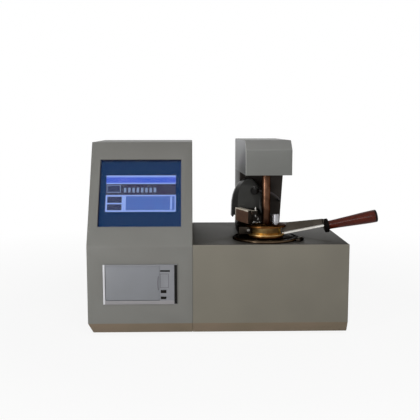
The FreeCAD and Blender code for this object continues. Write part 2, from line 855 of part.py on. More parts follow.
def make_cabinet():
    """The cabinet's shell, pan and rear panel, the feet and the screws of both cases."""
    shell = case_shell([(rear_y, cabinet_top_z), (front_y, cabinet_top_z)], seam_x, cabinet_right)
    shell = shell.cut(post(furnace_x, furnace_y, cabinet_top_z - overrun, cabinet_top_z + overrun,
                           furnace_hole_radius))
    slot = mast_size / 2 + mast_slot_gap
    shell = shell.cut(on_arm(box(-slot, slot, mast_from_centre - slot, mast_from_centre + slot,
                                 cabinet_top_z - overrun, cabinet_top_z + overrun)))
    save("cabinet_shell", drill_panel_screws(shell, cabinet_screws).removeSplitter())
    save("cabinet_base", case_pan(seam_x, cabinet_right, 0, cabinet_feet))
    vent_x = cabinet_right - (cabinet_right - fan_x - fan_size / 2) / 2
    panel = rear_panel(seam_x, cabinet_right, cabinet_top_z, vent_x, cabinet_top_z - cabinet_vent_from_top)
    reach = fan_bore_radius - fan_slot_width
    steps = int(reach / fan_slot_pitch)
    for i in range(-steps, steps + 1):
        across = i * fan_slot_pitch
        half = math.sqrt(reach ** 2 - across ** 2)
        panel = panel.cut(box(fan_x + across - fan_slot_width / 2, fan_x + across + fan_slot_width / 2,
                              rear_y - overrun, rear_y + overrun, fan_z - half, fan_z + half))
    save("cabinet_rear_panel", drill_panel_screws(panel, cabinet_screws))

    feet = []
    screws = []
    for x, y in console_feet + cabinet_feet:
        foot = Part.makeCone(foot_radius - foot_taper, foot_radius, foot_height, V(x, y, 0), VERTICAL)
        foot = foot.cut(post(x, y, -overrun, foot_recess_depth, foot_recess_radius))
        feet.append(foot.cut(post(x, y, -overrun, foot_height + overrun, screw_radius + screw_gap)))
        head = post(x, y, foot_recess_depth - screw_head_height, foot_recess_depth, screw_head_radius)
        thread = post(x, y, foot_recess_depth, foot_recess_depth + screw_length, screw_radius)
        screws.append(head.fuse(thread))
    for x, z in console_screws + cabinet_screws:
        head = bar_y(rear_y, rear_y + screw_head_height, x, z, screw_head_radius)
        screws.append(head.fuse(bar_y(rear_y - screw_length, rear_y, x, z, screw_radius)))
    save("rubber_feet", Part.makeCompound(feet))
    save("case_screws", Part.makeCompound(screws))


def make_fan():
    """The cooling fan: a square frame with its spider and axle, and the rotor."""
    half = fan_size / 2
    frame = box(fan_x - half, fan_x + half, fan_y0, fan_y1, fan_z - half, fan_z + half)
    frame = frame.cut(bar_y(fan_y0 - overrun, fan_y1 + overrun, fan_x, fan_z, fan_bore_radius))
    spider_y = fan_y0 + fan_spider_thickness
    arm = box(fan_x - half, fan_x + half, fan_y0, spider_y,
              fan_z - fan_spider_width / 2, fan_z + fan_spider_width / 2)
    hub = bar_y(fan_y0, spider_y, fan_x, fan_z, fan_hub_radius)
    axle = bar_y(fan_y0, fan_y1 - fan_spider_thickness, fan_x, fan_z, fan_axle_radius)
    arms = [arm, turned(arm, fan_x, fan_y0, fan_z, V(0, 1, 0), 90)]
    save("fan_frame", frame.fuse(arms + [hub, axle]))

    y0, y1 = spider_y + fan_tip_gap, fan_y1 - fan_tip_gap
    rotor = bar_y(y0, y1, fan_x, fan_z, fan_hub_radius)
    tip = fan_bore_radius - fan_tip_gap
    chord = (y1 - y0) * math.cos(math.radians(fan_blade_pitch))
    middle = (y0 + y1) / 2
    blade = box(fan_x - fan_blade_thickness / 2, fan_x + fan_blade_thickness / 2, middle - chord / 2,
                middle + chord / 2, fan_z, fan_z + tip)
    blade = turned(blade, fan_x, middle, fan_z, VERTICAL, fan_blade_pitch)
    blade = blade.common(bar_y(y0, y1, fan_x, fan_z, tip))
    for i in range(fan_blade_count):
        rotor = rotor.fuse(turned(blade, fan_x, middle, fan_z, V(0, 1, 0), i * 360 / fan_blade_count))
    bore = bar_y(y0 - overrun, y1 + overrun, fan_x, fan_z, fan_axle_radius + fan_axle_gap)
    save("fan_rotor", rotor.cut(bore))


def make_furnace():
    """The furnace: flange, seat, heated block, band heater, insulation and can on its legs."""
    z = cabinet_top_z
    flange = Part.makeCylinder(flange_radius, flange_thickness, V(0, 0, z))
    rim = [edge for edge in flange.Edges if edge.BoundBox.ZMin > z + flange_thickness / 2 and edge.Closed]
    flange = flange.makeChamfer(flange_chamfer, rim)
    flange = flange.cut(post(0, 0, z - overrun, flange_top_z + overrun, flange_bore))
    save("furnace_flange", on_furnace(flange))
    save("cup_seat_ring", on_furnace(ring(0, 0, flange_top_z, cup_seat_z, seat_radius, flange_bore)))
    block = post(0, 0, z - block_height, z, block_radius)
    block = block.cut(post(0, 0, z - well_depth, z + overrun, well_radius))
    save("furnace_block", on_furnace(block))
    band_z = z - block_height / 2 - band_height / 2
    band = ring(0, 0, band_z, band_z + band_height, block_radius + band_thickness, block_radius)
    save("heater_band", on_furnace(band))
    inner, outer = block_radius + band_thickness, block_radius + band_thickness + insulation_thickness
    block_foot = z - block_height
    lagging = post(0, 0, block_foot - insulation_floor, z, outer)
    lagging = lagging.cut(post(0, 0, block_foot, z + overrun, inner))
    save("furnace_insulation", on_furnace(lagging))
    can_z = block_foot - insulation_floor - can_sheet
    can = post(0, 0, can_z, z, outer + can_gap + can_sheet)
    can = can.cut(post(0, 0, can_z + can_sheet, z + overrun, outer + can_gap))
    for i in range(stand_leg_count):
        x, y = polar(stand_leg_circle, i * 360 / stand_leg_count + 90)
        can = can.fuse(post(x, y, floor_z, can_z, stand_leg_radius))
    save("furnace_can", on_furnace(can))

    half = rest_width / 2
    rest = box(rest_from_centre, rest_from_centre + rest_depth, -half, half, z, z + rest_height)
    middle = rest_from_centre + rest_depth / 2
    for y in (-rest_screw_pitch / 2, rest_screw_pitch / 2):
        rest = rest.fuse(post(middle, y, z + rest_height, z + rest_height + screw_head_height,
                              screw_head_radius))
    save("handle_rest", on_furnace(turned(rest, 0, 0, 0, VERTICAL, rest_angle)))


handle_z = cup_seat_z + shank_root_height
collar_z = handle_z + (collar_x - shank_root) * handle_sin / handle_cos


def in_handle(shape):
    """Tilts a shape drawn along X from the collar's inner face as the handle is tilted."""
    moved = turned(shape, 0, 0, 0, V(0, 1, 0), -handle_tilt)
    moved.translate(V(collar_x, 0, collar_z))
    return moved


def make_shank():
    """The folded steel shank: a strip under an upright web, with a foot, an end plate and a tang."""
    back = shank_depth / 2
    strip = prism_y([(shank_root, handle_z), (collar_x, collar_z), (collar_x, collar_z + shank_strip),
                     (shank_root, handle_z + shank_strip)], -back, back)
    clear_x = lid_plate_radius + shank_plate_gap
    web = prism_y([(shank_web_start, cup_flange_top_z), (shank_root, cup_flange_top_z),
                   (shank_root, handle_z), (collar_x, collar_z), (collar_x, collar_z + shank_web_end_height),
                   (clear_x, cup_flange_top_z + shank_web_rise), (clear_x, lid_ceiling_z - shank_lid_gap),
                   (shank_web_start, cup_flange_top_z + shank_web_start_height)], back - shank_web, back)
    foot = box(shank_foot_start, shank_foot_end, -back, back,
               cup_flange_top_z, cup_flange_top_z + shank_foot_thickness)
    beyond = in_handle(box(0, handle_length, -collar_radius, collar_radius, -shank_length, shank_length))
    plate = in_handle(box(-shank_end_plate, 0, -back, back, -back, shank_web_end_height))
    tang = in_handle(bar_x(-shank_end_plate, handle_length - cap_length, 0, 0, tang_radius))
    save("cup_shank", on_furnace(strip.fuse([web, foot]).cut(beyond).fuse([plate, tang])))


def make_grip():
    """The collar, the turned wooden grip and its end cap, on the shank's tang."""
    bore = bar_x(-overrun, handle_length - cap_length, 0, 0, tang_radius + tang_gap)
    collar = bar_x(0, collar_length, 0, 0, collar_radius)
    collar = collar.makeChamfer(collar_chamfer, [edge for edge in collar.Edges if edge.Closed])
    save("grip_collar", on_furnace(in_handle(collar.cut(bore))))
    outline = [V(collar_length + along * grip_length, 0, size * grip_radius)
               for along, size in grip_radius_shares]
    curve = Part.BSplineCurve()
    curve.interpolate(outline)
    start, end = V(outline[0].x, 0, 0), V(outline[-1].x, 0, 0)
    edges = [curve.toShape(), Part.LineSegment(outline[-1], end).toShape(),
             Part.LineSegment(end, start).toShape(), Part.LineSegment(start, outline[0]).toShape()]
    grip = Part.Face(Part.Wire(edges)).revolve(V(0, 0, 0), V(1, 0, 0), 360)
    save("wood_grip", on_furnace(in_handle(grip.cut(bore))))
    cap = bar_x(collar_length + grip_length, handle_length, 0, 0, cap_radius)
    far = [edge for edge in cap.Edges if edge.Closed and edge.BoundBox.XMin > handle_length - cap_length / 2]
    save("grip_cap", on_furnace(in_handle(cap.makeFillet(cap_fillet, far))))


def make_cup():
    """The brass cup with its flange."""
    cup = post(0, 0, cup_bottom_z, cup_rim_z, cup_outer_radius)
    cup = cup.fuse(post(0, 0, cup_seat_z, cup_flange_top_z, cup_flange_radius))
    save("test_cup", on_furnace(cup.cut(post(0, 0, cup_floor_z, cup_rim_z + overrun, cup_inner_radius))))


def arc_slot(inner, outer, start, end, z0, z1):
    """A curved strip about the furnace axis, between two angles."""
    slice_of_disc = Part.makeCylinder(outer, z1 - z0, V(0, 0, z0), VERTICAL, end - start)
    return turned(slice_of_disc, 0, 0, 0, VERTICAL, start).cut(post(0, 0, z0 - overrun, z1 + overrun, inner))


def make_lid():
    """The lid, its shutter with the crank that turns it, and the drive block beside it."""
    lid = post(0, 0, lid_rim_z, lid_top_z, lid_pot_radius)
    lid = lid.fuse(post(0, 0, lid_ceiling_z, lid_top_z, lid_plate_radius))
    lid = lid.cut(post(0, 0, lid_rim_z - overrun, lid_ceiling_z, lid_pot_inner))
    top = lid_top_z + overrun
    holes = [post(0, 0, lid_ceiling_z - overrun, top, lid_shaft_hole),
             post(probe_x, probe_y, lid_ceiling_z - overrun, top, probe_radius + probe_hole_gap)]
    for angle in port_angles:
        x, y = polar(port_circle, angle)
        holes.append(post(x, y, lid_ceiling_z - overrun, top, port_radius))
    save("lid_body", on_arm(lid.cut(holes)))

    z0, z1 = shutter_z, shutter_z + shutter_thickness
    low, high = z0 - overrun, z1 + overrun
    plate = arc_slot(tube_radius + lid_gap, shutter_radius, shutter_start, shutter_end, z0, z1)
    for angle in port_angles:
        slot_end = angle - shutter_slot_lead
        plate = plate.cut(arc_slot(port_circle - shutter_slot_half, port_circle + shutter_slot_half,
                                   slot_end - shutter_slot_span, slot_end, low, high))
    pin_half = crank_pin_radius + crank_pin_gap
    slot = box(crank_slot_inner, crank_slot_outer, -pin_half, pin_half, low, high)
    slot = slot.fuse([post(x, 0, low, high, pin_half) for x in (crank_slot_inner, crank_slot_outer)])
    plate = plate.cut(turned(slot, 0, 0, 0, VERTICAL, crank_angle - shutter_travel / 2))
    save("lid_shutter", on_arm(plate))

    lever_z0, lever_z1 = crank_z, crank_z + crank_thickness
    lever = box(-crank_arm, 0, -crank_width / 2, crank_width / 2, lever_z0, lever_z1)
    lever = lever.fuse([post(0, 0, lid_ceiling_z, lever_z1, crank_spindle_radius),
                        post(0, 0, lever_z0, lever_z1, crank_width / 2),
                        post(-crank_arm, 0, lever_z0, lever_z1, crank_width / 2),
                        post(-crank_arm, 0, shutter_z, lever_z0, crank_pin_radius)])
    lever.translate(V(crank_circle, 0, 0))
    lever = turned(lever, crank_circle, 0, 0, VERTICAL, crank_swing / 2)
    save("shutter_crank", on_arm(turned(lever, 0, 0, 0, VERTICAL, crank_angle)))

    outline = [(x * drive_reach, y * drive_reach) for x, y in drive_outline_shares]
    drive = prism_z(outline, lid_ceiling_z - drive_height, lid_ceiling_z)
    screw_x = outline[1][0] - drive_screw_from_end
    head = bar_y(outline[0][1] - drive_screw_height, outline[0][1], screw_x, lid_ceiling_z - drive_height / 2,
                 drive_screw_radius)
    save("shutter_drive", on_arm(drive.fuse(head)))


def make_igniter():
    """The igniter's polished case, and the bent rod that dips through the lid's port."""
    z0 = lid_top_z + module_above_lid
    case = box(0, module_width, 0, module_length, z0, z0 + module_height)
    upright = [edge for edge in case.Edges if abs(edge.Length - module_height) < module_edge]
    case = case.makeFillet(module_edge, upright)
    case = turned(case, 0, 0, 0, VERTICAL, module_yaw)
    case.translate(V(module_front_x, module_front_y, 0))
    case = case.cut(box(-case_depth, case_depth, arch_front, case_depth,
                        z0 - overrun, z0 + module_height + overrun))
    half = guide_block / 2
    guide_z = z0 + module_height - guide_height
    guide = box(rod_x - guide_block, rod_x + half, rod_y - half, rod_y + half, guide_z, z0 + module_height)
    case = case.fuse(guide).cut(post(rod_x, rod_y, z0 - overrun, z0 + module_height + overrun,
                                     rod_radius + rod_gap))
    save("igniter_module", on_arm(case))

    tip_x, tip_y = polar(port_circle, port_angles[0])
    top, elbow, tip = (lid_top_z + h for h in (rod_top_above_lid, rod_elbow_above_lid, rod_tip_above_lid))
    run = math.hypot(tip_x - rod_x, tip_y - rod_y)
    across = V((tip_x - rod_x) / run, (tip_y - rod_y) / run, 0)
    sag = rod_bend_radius * (1 - math.cos(math.radians(45)))
    upper, lower = V(rod_x, rod_y, elbow), V(tip_x, tip_y, elbow)
    up = V(0, 0, rod_bend_radius)
    side = across * rod_bend_radius
    first = (upper + up, upper + V(0, 0, sag) + across * sag, upper + side)
    second = (lower - side, lower - across * sag - V(0, 0, sag), lower - up)
    edges = [Part.LineSegment(V(rod_x, rod_y, top), first[0]).toShape(), Part.Arc(*first).toShape(),
             Part.LineSegment(first[2], second[0]).toShape(), Part.Arc(*second).toShape(),
             Part.LineSegment(second[2], V(tip_x, tip_y, tip)).toShape()]
    section = Part.Wire(Part.Circle(V(rod_x, rod_y, top), VERTICAL, rod_radius).toShape())
    rod = Part.Wire(edges).makePipeShell([section], True, False)
    bead = post(tip_x, tip_y, tip, tip + bead_height, bead_radius)
    save("igniter_rod", on_arm(rod.fuse(bead)))


def arch_wire(y, half, rise, spring, bottom):
    """An arch standing at y: flat foot, upright flanks and a half-ellipse top in two arcs."""
    left, right = arch_x - half, arch_x + half
    if rise >= half:
        oval = Part.Ellipse(V(arch_x, y, spring + rise), V(arch_x - half, y, spring), V(arch_x, y, spring))
    else:
        oval = Part.Ellipse(V(arch_x + half, y, spring), V(arch_x, y, spring + rise), V(arch_x, y, spring))
    crown = V(arch_x, y, spring + rise)
    edges = [Part.LineSegment(V(left, y, bottom), V(right, y, bottom)).toShape(),
             Part.LineSegment(V(right, y, bottom), V(right, y, spring)).toShape()]
    for low, high in ((V(right, y, spring), crown), (crown, V(left, y, spring))):
        ends = sorted((oval.parameter(low), oval.parameter(high)))
        if ends[1] - ends[0] > math.pi:
            ends = [ends[1], ends[0] + 2 * math.pi]
        edges.append(Part.ArcOfEllipse(oval, ends[0], ends[1]).toShape())
    edges.append(Part.LineSegment(V(left, y, spring), V(left, y, bottom)).toShape())
    return Part.Wire(Part.__sortEdges__(edges))


def arch_solid(wall, below):
    """The flared arch with its skirt running back, drawn in by a wall and let down below its foot."""
    front = arch_wire(arch_front + wall, arch_front_half - wall, arch_front_rise - wall, arch_front_spring,
                      arch_front_bottom - below)
    back_y = arch_front + arch_flare_depth
    back = arch_wire(back_y, arch_back_half - wall, arch_back_rise - wall, arch_back_spring,
                     arch_back_bottom - below)
    flare = Part.makeLoft([front, back], True, True)
    return flare.fuse(Part.Face(back).extrude(V(0, arm_rear - back_y, 0)))


def column_front(z):
    """Where the column's front wall stands at a height."""
    fall = (head_bottom - z) / (head_bottom - column_bottom_z)
    return column_front_top + (column_front_bottom - column_front_top) * fall


def column_space(ahead):
    """All that lies behind the column's front wall, or from a little ahead of it."""
    deep = arm_rear + case_depth
    outline = [(column_front(head_top), head_top), (column_front(floor_z), floor_z),
               (deep, floor_z), (deep, head_top)]
    return prism_x([(y - ahead, z) for y, z in outline], -case_depth, case_depth)


def make_arch():
    """The arched housing with its plug, and the two leads into the column."""
    column = column_space(0)
    hollow = arch_solid(arch_wall, overrun).cut(column_space(arch_wall))
    save("arch_housing", on_arm(arch_solid(0, 0).cut([column, hollow])))

    flange_y = arch_front - plug_flange_thickness
    plug_y = flange_y - plug_length
    exit_y = plug_y + plug_radius
    plug = bar_y(flange_y, arch_front, socket_x, socket_z, plug_flange_radius)
    plug = plug.fuse(bar_y(plug_y, flange_y, socket_x, socket_z, plug_radius))
    plug = plug.fuse(bar_x(socket_x, socket_x + plug_elbow_length, exit_y, socket_z, plug_elbow_radius))
    save("cable_plug", on_arm(plug))

    leads = []
    glands = []
    probe_start = V(probe_x, probe_y + ferrule_radius, lid_top_z + probe_lead_height)
    arm_start = V(socket_x + plug_elbow_length, exit_y, socket_z)
    routes = (("arm", arm_start, arm_lead_end, arm_lead_route_shares),
              ("probe", probe_start, probe_lead_end, probe_lead_route_shares))
    for name, start, (end_x, end_z), route_shares in routes:
        gland_y = column_front(end_z) - gland_length
        shape, length, bends = lead(start, V(end_x, gland_y, end_z), route_shares, lead_radius)
        volume_ratio = shape.Volume / (math.pi * lead_radius ** 2 * length)
        print(name, "lead: length", round(length, 1), "radii", bends, "volume ratio", round(volume_ratio, 4))
        leads.append(shape)
        gland = bar_y(gland_y, gland_y + gland_length + overrun, end_x, end_z, gland_radius)
        glands.append(gland.cut(column))
    save("arm_leads", on_arm(Part.makeCompound(leads)))
    save("lead_glands", on_arm(Part.makeCompound(glands)))


def make_probe():
    """The temperature probe: its knurled head on a collar, and the rod down into the cup."""
    head = post(probe_x, probe_y, lid_top_z + ferrule_collar_height, lid_top_z + ferrule_height,
                ferrule_radius)
    collar = post(probe_x, probe_y, lid_top_z, lid_top_z + ferrule_collar_height, ferrule_collar_radius)
    rod = post(probe_x, probe_y, lid_ceiling_z - probe_depth, lid_top_z, probe_radius)
    save("temperature_probe", on_arm(head.fuse([collar, rod])))


def propeller(reach, z):
    """A two-bladed propeller on the stirrer's axis."""
    blade = box(0, reach, -blade_thickness / 2, blade_thickness / 2, z, z + blade_height)
    blade = turned(blade, 0, 0, z + blade_height / 2, V(1, 0, 0), blade_tilt)
    return [post(0, 0, z, z + blade_height, hub_radius), blade, turned(blade, 0, 0, 0, VERTICAL, 180)]


def make_stirrer():
    """The tube that carries the lid, the stirrer in it, its coupling and its motor."""
    save("drive_tube", on_arm(ring(0, 0, lid_top_z, beam_z, tube_radius, tube_radius - tube_wall)))
    foot = cup_floor_z + stirrer_above_floor
    coupling_top = beam_top_z - end_gap
    coupling_foot = coupling_top - coupling_length
    joint = (coupling_foot + coupling_top) / 2
    shaft = post(0, 0, foot, joint, stirrer_radius)
    lower = propeller(lower_blade_reach, foot)
    upper = propeller(upper_blade_reach, foot + upper_blade_rise)
    save("stirrer_shaft", on_arm(shaft.fuse(lower + upper)))
    sleeve = ring(0, 0, coupling_foot, coupling_top, coupling_radius, stirrer_radius + coupling_gap)
    pin = post(0, 0, joint, coupling_top, stirrer_radius)
    save("stirrer_coupling", on_arm(Part.makeCompound([sleeve, pin])))
    save("stirrer_motor", on_arm(post(0, 0, beam_top_z, beam_top_z + motor_height, motor_radius)))


def make_arm():
    """The sheet shell of the head and column, the head's floor, the beam and the mast."""
    outline = [(-head_front, head_bottom), (column_front_top, head_bottom),
               (column_front_bottom, column_bottom_z), (arm_rear, column_bottom_z), (arm_rear, head_top),
               (head_slope - head_front, head_top), (-head_front, head_crease)]
    opened = [(y, z - overrun if z == column_bottom_z else z) for y, z in outline]
    slope = column_front(column_bottom_z - overrun) - column_front(column_bottom_z)
    opened[2] = (column_front_bottom + slope, column_bottom_z - overrun)
    left, right = head_middle - head_half_width, head_middle + head_half_width
    inner_left, inner_right = left + arm_sheet, right - arm_sheet
    shell = prism_x(outline, left, right).cut(prism_x(inset(opened, arm_sheet), inner_left, inner_right))
    floor_y0, floor_y1 = arm_sheet - head_front, column_front_top
    floor_cut = box(inner_left, inner_right, floor_y0, floor_y1,
                    head_bottom - overrun, head_bottom + arm_sheet)
    save("arm_shell", on_arm(shell.cut(floor_cut)))
    floor = box(inner_left, inner_right, floor_y0, floor_y1, head_bottom, head_bottom + arm_sheet)
    save("head_floor", on_arm(floor.cut(post(0, 0, head_bottom - overrun, head_bottom + overrun,
                                             tube_radius + panel_gap))))

    mast_half = mast_size / 2
    front, back = mast_from_centre - mast_half, mast_from_centre + mast_half
    beam = box(-beam_half_width, beam_half_width, -beam_half_width, back, beam_z, beam_top_z)
    beam = beam.fuse(box(inner_left, inner_right, beam_wing_start, back, beam_z, beam_top_z))
    beam = beam.cut(post(0, 0, beam_z - overrun, beam_top_z + overrun, coupling_radius + beam_hole_gap))
    save("arm_beam", on_arm(beam.removeSplitter()))
    mast = box(-mast_half, mast_half, front, back, carriage_top_z, beam_z)
    bore = mast_half - mast_wall
    mast = mast.cut(box(-bore, bore, mast_from_centre - bore, mast_from_centre + bore,
                        carriage_top_z - overrun, beam_z + overrun))
    save("arm_mast", on_arm(mast))


def make_lift():
    """The lift: base and top plates, guide rods, motor, lead screw and carriage."""
    y = mast_from_centre
    wide, deep = lift_plate_half_width, lift_plate_half_depth
    corners = [(x, y + dy) for x in (lift_leg_margin - wide, wide - lift_leg_margin)
               for dy in (lift_leg_margin - deep, deep - lift_leg_margin)]
    base = box(-wide, wide, y - deep, y + deep, lift_base_z, lift_base_top_z)
    base = base.fuse([post(cx, cy, floor_z, lift_base_z, lift_leg_radius) for cx, cy in corners])
    base = base.cut(post(0, y, lift_base_z - overrun, lift_base_top_z + overrun,
                         screw_major_radius + screw_nut_gap))
    top = box(-wide, wide, y - deep, y + deep, lift_top_z, lift_top_z + lift_plate_thickness)
    hanger_top = cabinet_top_z - sheet
    top = top.fuse([post(cx, cy, lift_top_z + lift_plate_thickness, hanger_top, lift_leg_radius)
                    for cx, cy in corners])
    slot = mast_size / 2 + mast_slot_gap
    top = top.cut(box(-slot, slot, y - slot, y + slot, lift_top_z - overrun, hanger_top))
    save("lift_plates", on_arm(Part.makeCompound([base, top])))
    rods = [post(x, y, lift_base_top_z, lift_top_z, guide_radius) for x in (-guide_spacing, guide_spacing)]
    save("guide_rods", on_arm(Part.makeCompound(rods)))
    half = lift_motor_size / 2
    save("lift_motor", on_arm(box(-half, half, y - half, y + half, floor_z, lift_base_z - end_gap)))
    save("lead_screw", on_arm(post(0, y, lift_base_z, screw_top_z, screw_major_radius)))
    carriage = box(-carriage_half_width, carriage_half_width, y - carriage_half_depth,
                   y + carriage_half_depth, carriage_z, carriage_top_z)
    for x, radius in ((-guide_spacing, guide_radius + guide_gap), (guide_spacing, guide_radius + guide_gap),
                      (0, screw_major_radius + screw_nut_gap)):
        carriage = carriage.cut(post(x, y, carriage_z - overrun, carriage_top_z + overrun, radius))
    save("lift_carriage", on_arm(carriage))


os.makedirs("parts", exist_ok=True)
make_console()
make_screen()
make_supply()
make_printer()
make_rear_fittings()
make_cabinet()
make_fan()
make_furnace()
make_cup()
make_shank()
make_grip()
make_lid()
make_igniter()
make_arch()
make_probe()
make_stirrer()
make_arm()
make_lift()
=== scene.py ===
import logging
import math
from contextlib import contextmanager
from dataclasses import dataclass
from enum import Enum
from typing import Callable, Iterator

import bmesh
import bpy
from bpy.types import Material, Node, NodeSocket, NodeTree, Object
from mathutils import Euler, Matrix, Vector


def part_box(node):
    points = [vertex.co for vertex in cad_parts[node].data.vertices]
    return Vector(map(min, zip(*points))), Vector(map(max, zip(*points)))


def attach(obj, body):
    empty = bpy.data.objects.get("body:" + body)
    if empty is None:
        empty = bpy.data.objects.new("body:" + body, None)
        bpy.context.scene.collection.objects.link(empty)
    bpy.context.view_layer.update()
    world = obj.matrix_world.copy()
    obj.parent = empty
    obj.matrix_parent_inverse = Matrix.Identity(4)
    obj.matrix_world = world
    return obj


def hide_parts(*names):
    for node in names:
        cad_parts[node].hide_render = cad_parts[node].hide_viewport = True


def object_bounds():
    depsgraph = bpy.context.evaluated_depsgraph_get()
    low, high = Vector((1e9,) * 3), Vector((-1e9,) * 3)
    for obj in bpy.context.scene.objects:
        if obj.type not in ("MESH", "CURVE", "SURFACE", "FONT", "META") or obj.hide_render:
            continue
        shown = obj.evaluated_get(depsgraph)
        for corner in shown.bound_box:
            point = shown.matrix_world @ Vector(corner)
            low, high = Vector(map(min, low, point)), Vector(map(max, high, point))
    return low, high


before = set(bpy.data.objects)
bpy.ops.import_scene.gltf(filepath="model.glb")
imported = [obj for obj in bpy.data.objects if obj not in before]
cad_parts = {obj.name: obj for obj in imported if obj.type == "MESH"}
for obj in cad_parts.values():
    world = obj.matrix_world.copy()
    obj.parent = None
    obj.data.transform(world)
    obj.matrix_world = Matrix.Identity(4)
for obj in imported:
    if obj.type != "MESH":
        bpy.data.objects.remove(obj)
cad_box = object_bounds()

# A closed-cup flash point tester. Sizes are in metres, written as a number of MM.
MM = 0.001
WELD = 0.002 * MM
FLAT_ANGLE = math.radians(0.4)
SHARP_ANGLE = math.radians(30.0)
FOLD_ANGLE = math.radians(18.0)
FOLD_FACE_AREA = 0.0018
LATHE_STEPS = 96
SMALL_LATHE_STEPS = 48
NOISE_LOW = 0.3
NOISE_HIGH = 0.7
BUMP_STRENGTH = 0.6
# A face looks one way when its normal has more than this share of it
FACING = 0.9

log = logging.getLogger("flash_point_tester")
nodes: dict[str, Object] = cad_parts


class Body(Enum):
    """The bodies that a piece can ride on."""

    CABINETS = "cabinets"
    LIFT_ARM = "lift_arm"
    TEST_CUP = "test_cup"
    LID_SHUTTER = "lid_shutter"
    SHUTTER_CRANK = "shutter_crank"
    IGNITER_ROD = "igniter_rod"
    PRINTER_DOOR = "printer_door"
    FEED_BUTTON = "feed_button"
    SELECT_BUTTON = "select_button"
    POWER_ROCKER = "power_rocker"
    FAN_ROTOR = "fan_rotor"


class Marks(Enum):
    """The way in which a tool or a wheel has marked a metal."""

    TURNED = "turned"
    DRAWN_UPRIGHT = "drawn upright"
    ALONG_X = "along x"
    FINE = "fine"


def linear(hex_colour: str) -> tuple[float, float, float, float]:
    """Turns an sRGB hex colour into the linear colour that shaders use.

    Args:
        hex_colour: Six hex digits after a hash.

    Returns:
        Red, green, blue and an alpha of one.
    """
    digits = hex_colour.lstrip("#")
    channels = [int(digits[i:i + 2], 16) / 255.0 for i in (0, 2, 4)]
    red, green, blue = (c / 12.92 if c <= 0.04045 else ((c + 0.055) / 1.055) ** 2.4 for c in channels)
    return red, green, blue, 1.0


def add(tree: NodeTree, kind: str, values: dict | None = None, **settings: object) -> Node:
    """Adds a shader node with its settings and links.

    Args:
        tree: The node tree of a material or the world.
        kind: The node's type.
        values: Input name or number to its value, or to the output socket that it is linked to.
        settings: The node's own properties.

    Returns:
        The new node.
    """
    node = tree.nodes.new(kind)
    for name, value in settings.items():
        setattr(node, name, value)
    for key, value in (values or {}).items():
        if isinstance(value, NodeSocket):
            tree.links.new(value, node.inputs[key])
        else:
            node.inputs[key].default_value = value
    return node


def noise(tree: NodeTree, vector: NodeSocket, size: float, detail: float = 2.0) -> NodeSocket:
    """Gives a soft noise whose spots have a real size.

    Args:
        tree: The material's node tree.
        vector: The coordinates that the noise reads, in metres.
        size: The spots' size in metres.
        detail: How many finer layers lie on it.

    Returns:
        The noise's factor.
    """
    values = {"Vector": vector, "Scale": 1.0 / size, "Detail": detail}
    return add(tree, "ShaderNodeTexNoise", values).outputs[0]


def between(tree: NodeTree, factor: NodeSocket, low: float, high: float) -> NodeSocket:
    """Spreads a factor from nought to one over a range of numbers."""
    spread = add(tree, "ShaderNodeMapRange", {"Value": factor, "From Min": NOISE_LOW, "From Max": NOISE_HIGH,
                                              "To Min": low, "To Max": high})
    return spread.outputs[0]


def blended(tree: NodeTree, factor: NodeSocket, first: str, second: str) -> NodeSocket:
    """Blends two hex colours by a factor that runs from nought to one."""
    mix = add(tree, "ShaderNodeMix", {0: factor, 6: linear(first), 7: linear(second)}, data_type="RGBA")
    return mix.outputs[2]


@dataclass(frozen=True)
class Finish:
    """A finish: its name, the record's slot, its colour and the shader's plain numbers."""

    name: str
    slot: str
    colour: str
    second_colour: str = ""
    roughness: float = 0.5
    metallic: float = 0.0
    mottle: float = 40.0 * MM
    grain: float = 1.0 * MM
    relief: float = 0.02 * MM
    specular: float = 0.4
    spread: float = 0.06

    def material(self) -> Material:
        """Gives this finish's material, made once."""
        made = bpy.data.materials.get(self.name)
        if made:
            return made
        made = bpy.data.materials.new(self.name)
        made.use_nodes = True
        tree = made.node_tree
        shader = next(n for n in tree.nodes if n.type == "BSDF_PRINCIPLED")
        shader.inputs["Base Color"].default_value = linear(self.colour)
        shader.inputs["Roughness"].default_value = self.roughness
        shader.inputs["Metallic"].default_value = self.metallic
        shader.inputs["Specular IOR Level"].default_value = self.specular
        place = add(tree, "ShaderNodeTexCoord").outputs["Object"]
        self.texture(tree, shader, place)
        return made

    def texture(self, tree: NodeTree, shader: Node, place: NodeSocket) -> None:
        """Adds this finish's colour variation and its fine relief.

        Args:
            tree: The material's node tree.
            shader: Its shader.
            place: Object coordinates, in metres.
        """
        if self.second_colour:
            spots = between(tree, noise(tree, place, self.mottle), 0.0, 1.0)
            tree.links.new(blended(tree, spots, self.colour, self.second_colour), shader.inputs["Base Color"])
        self.press(tree, shader, noise(tree, place, self.grain))

    def press(self, tree: NodeTree, shader: Node, height: NodeSocket) -> None:
        """Links a height to the shader as relief and as a small spread of roughness."""
        rough = between(tree, height, self.roughness - self.spread, self.roughness + self.spread)
        tree.links.new(rough, shader.inputs["Roughness"])
        bump = add(tree, "ShaderNodeBump",
                   {"Height": height, "Distance": self.relief, "Strength": BUMP_STRENGTH})
        tree.links.new(bump.outputs[0], shader.inputs["Normal"])


@dataclass(frozen=True)
class Enamel(Finish):
    """Baked enamel on sheet steel, with a faint orange peel."""

    roughness: float = 0.42
    mottle: float = 90.0 * MM
    grain: float = 1.2 * MM
    relief: float = 0.03 * MM
    specular: float = 0.2


@dataclass(frozen=True)
class Moulding(Finish):
    """A finely grained moulding of pale plastic."""

    grain: float = 0.6 * MM
    relief: float = 0.01 * MM


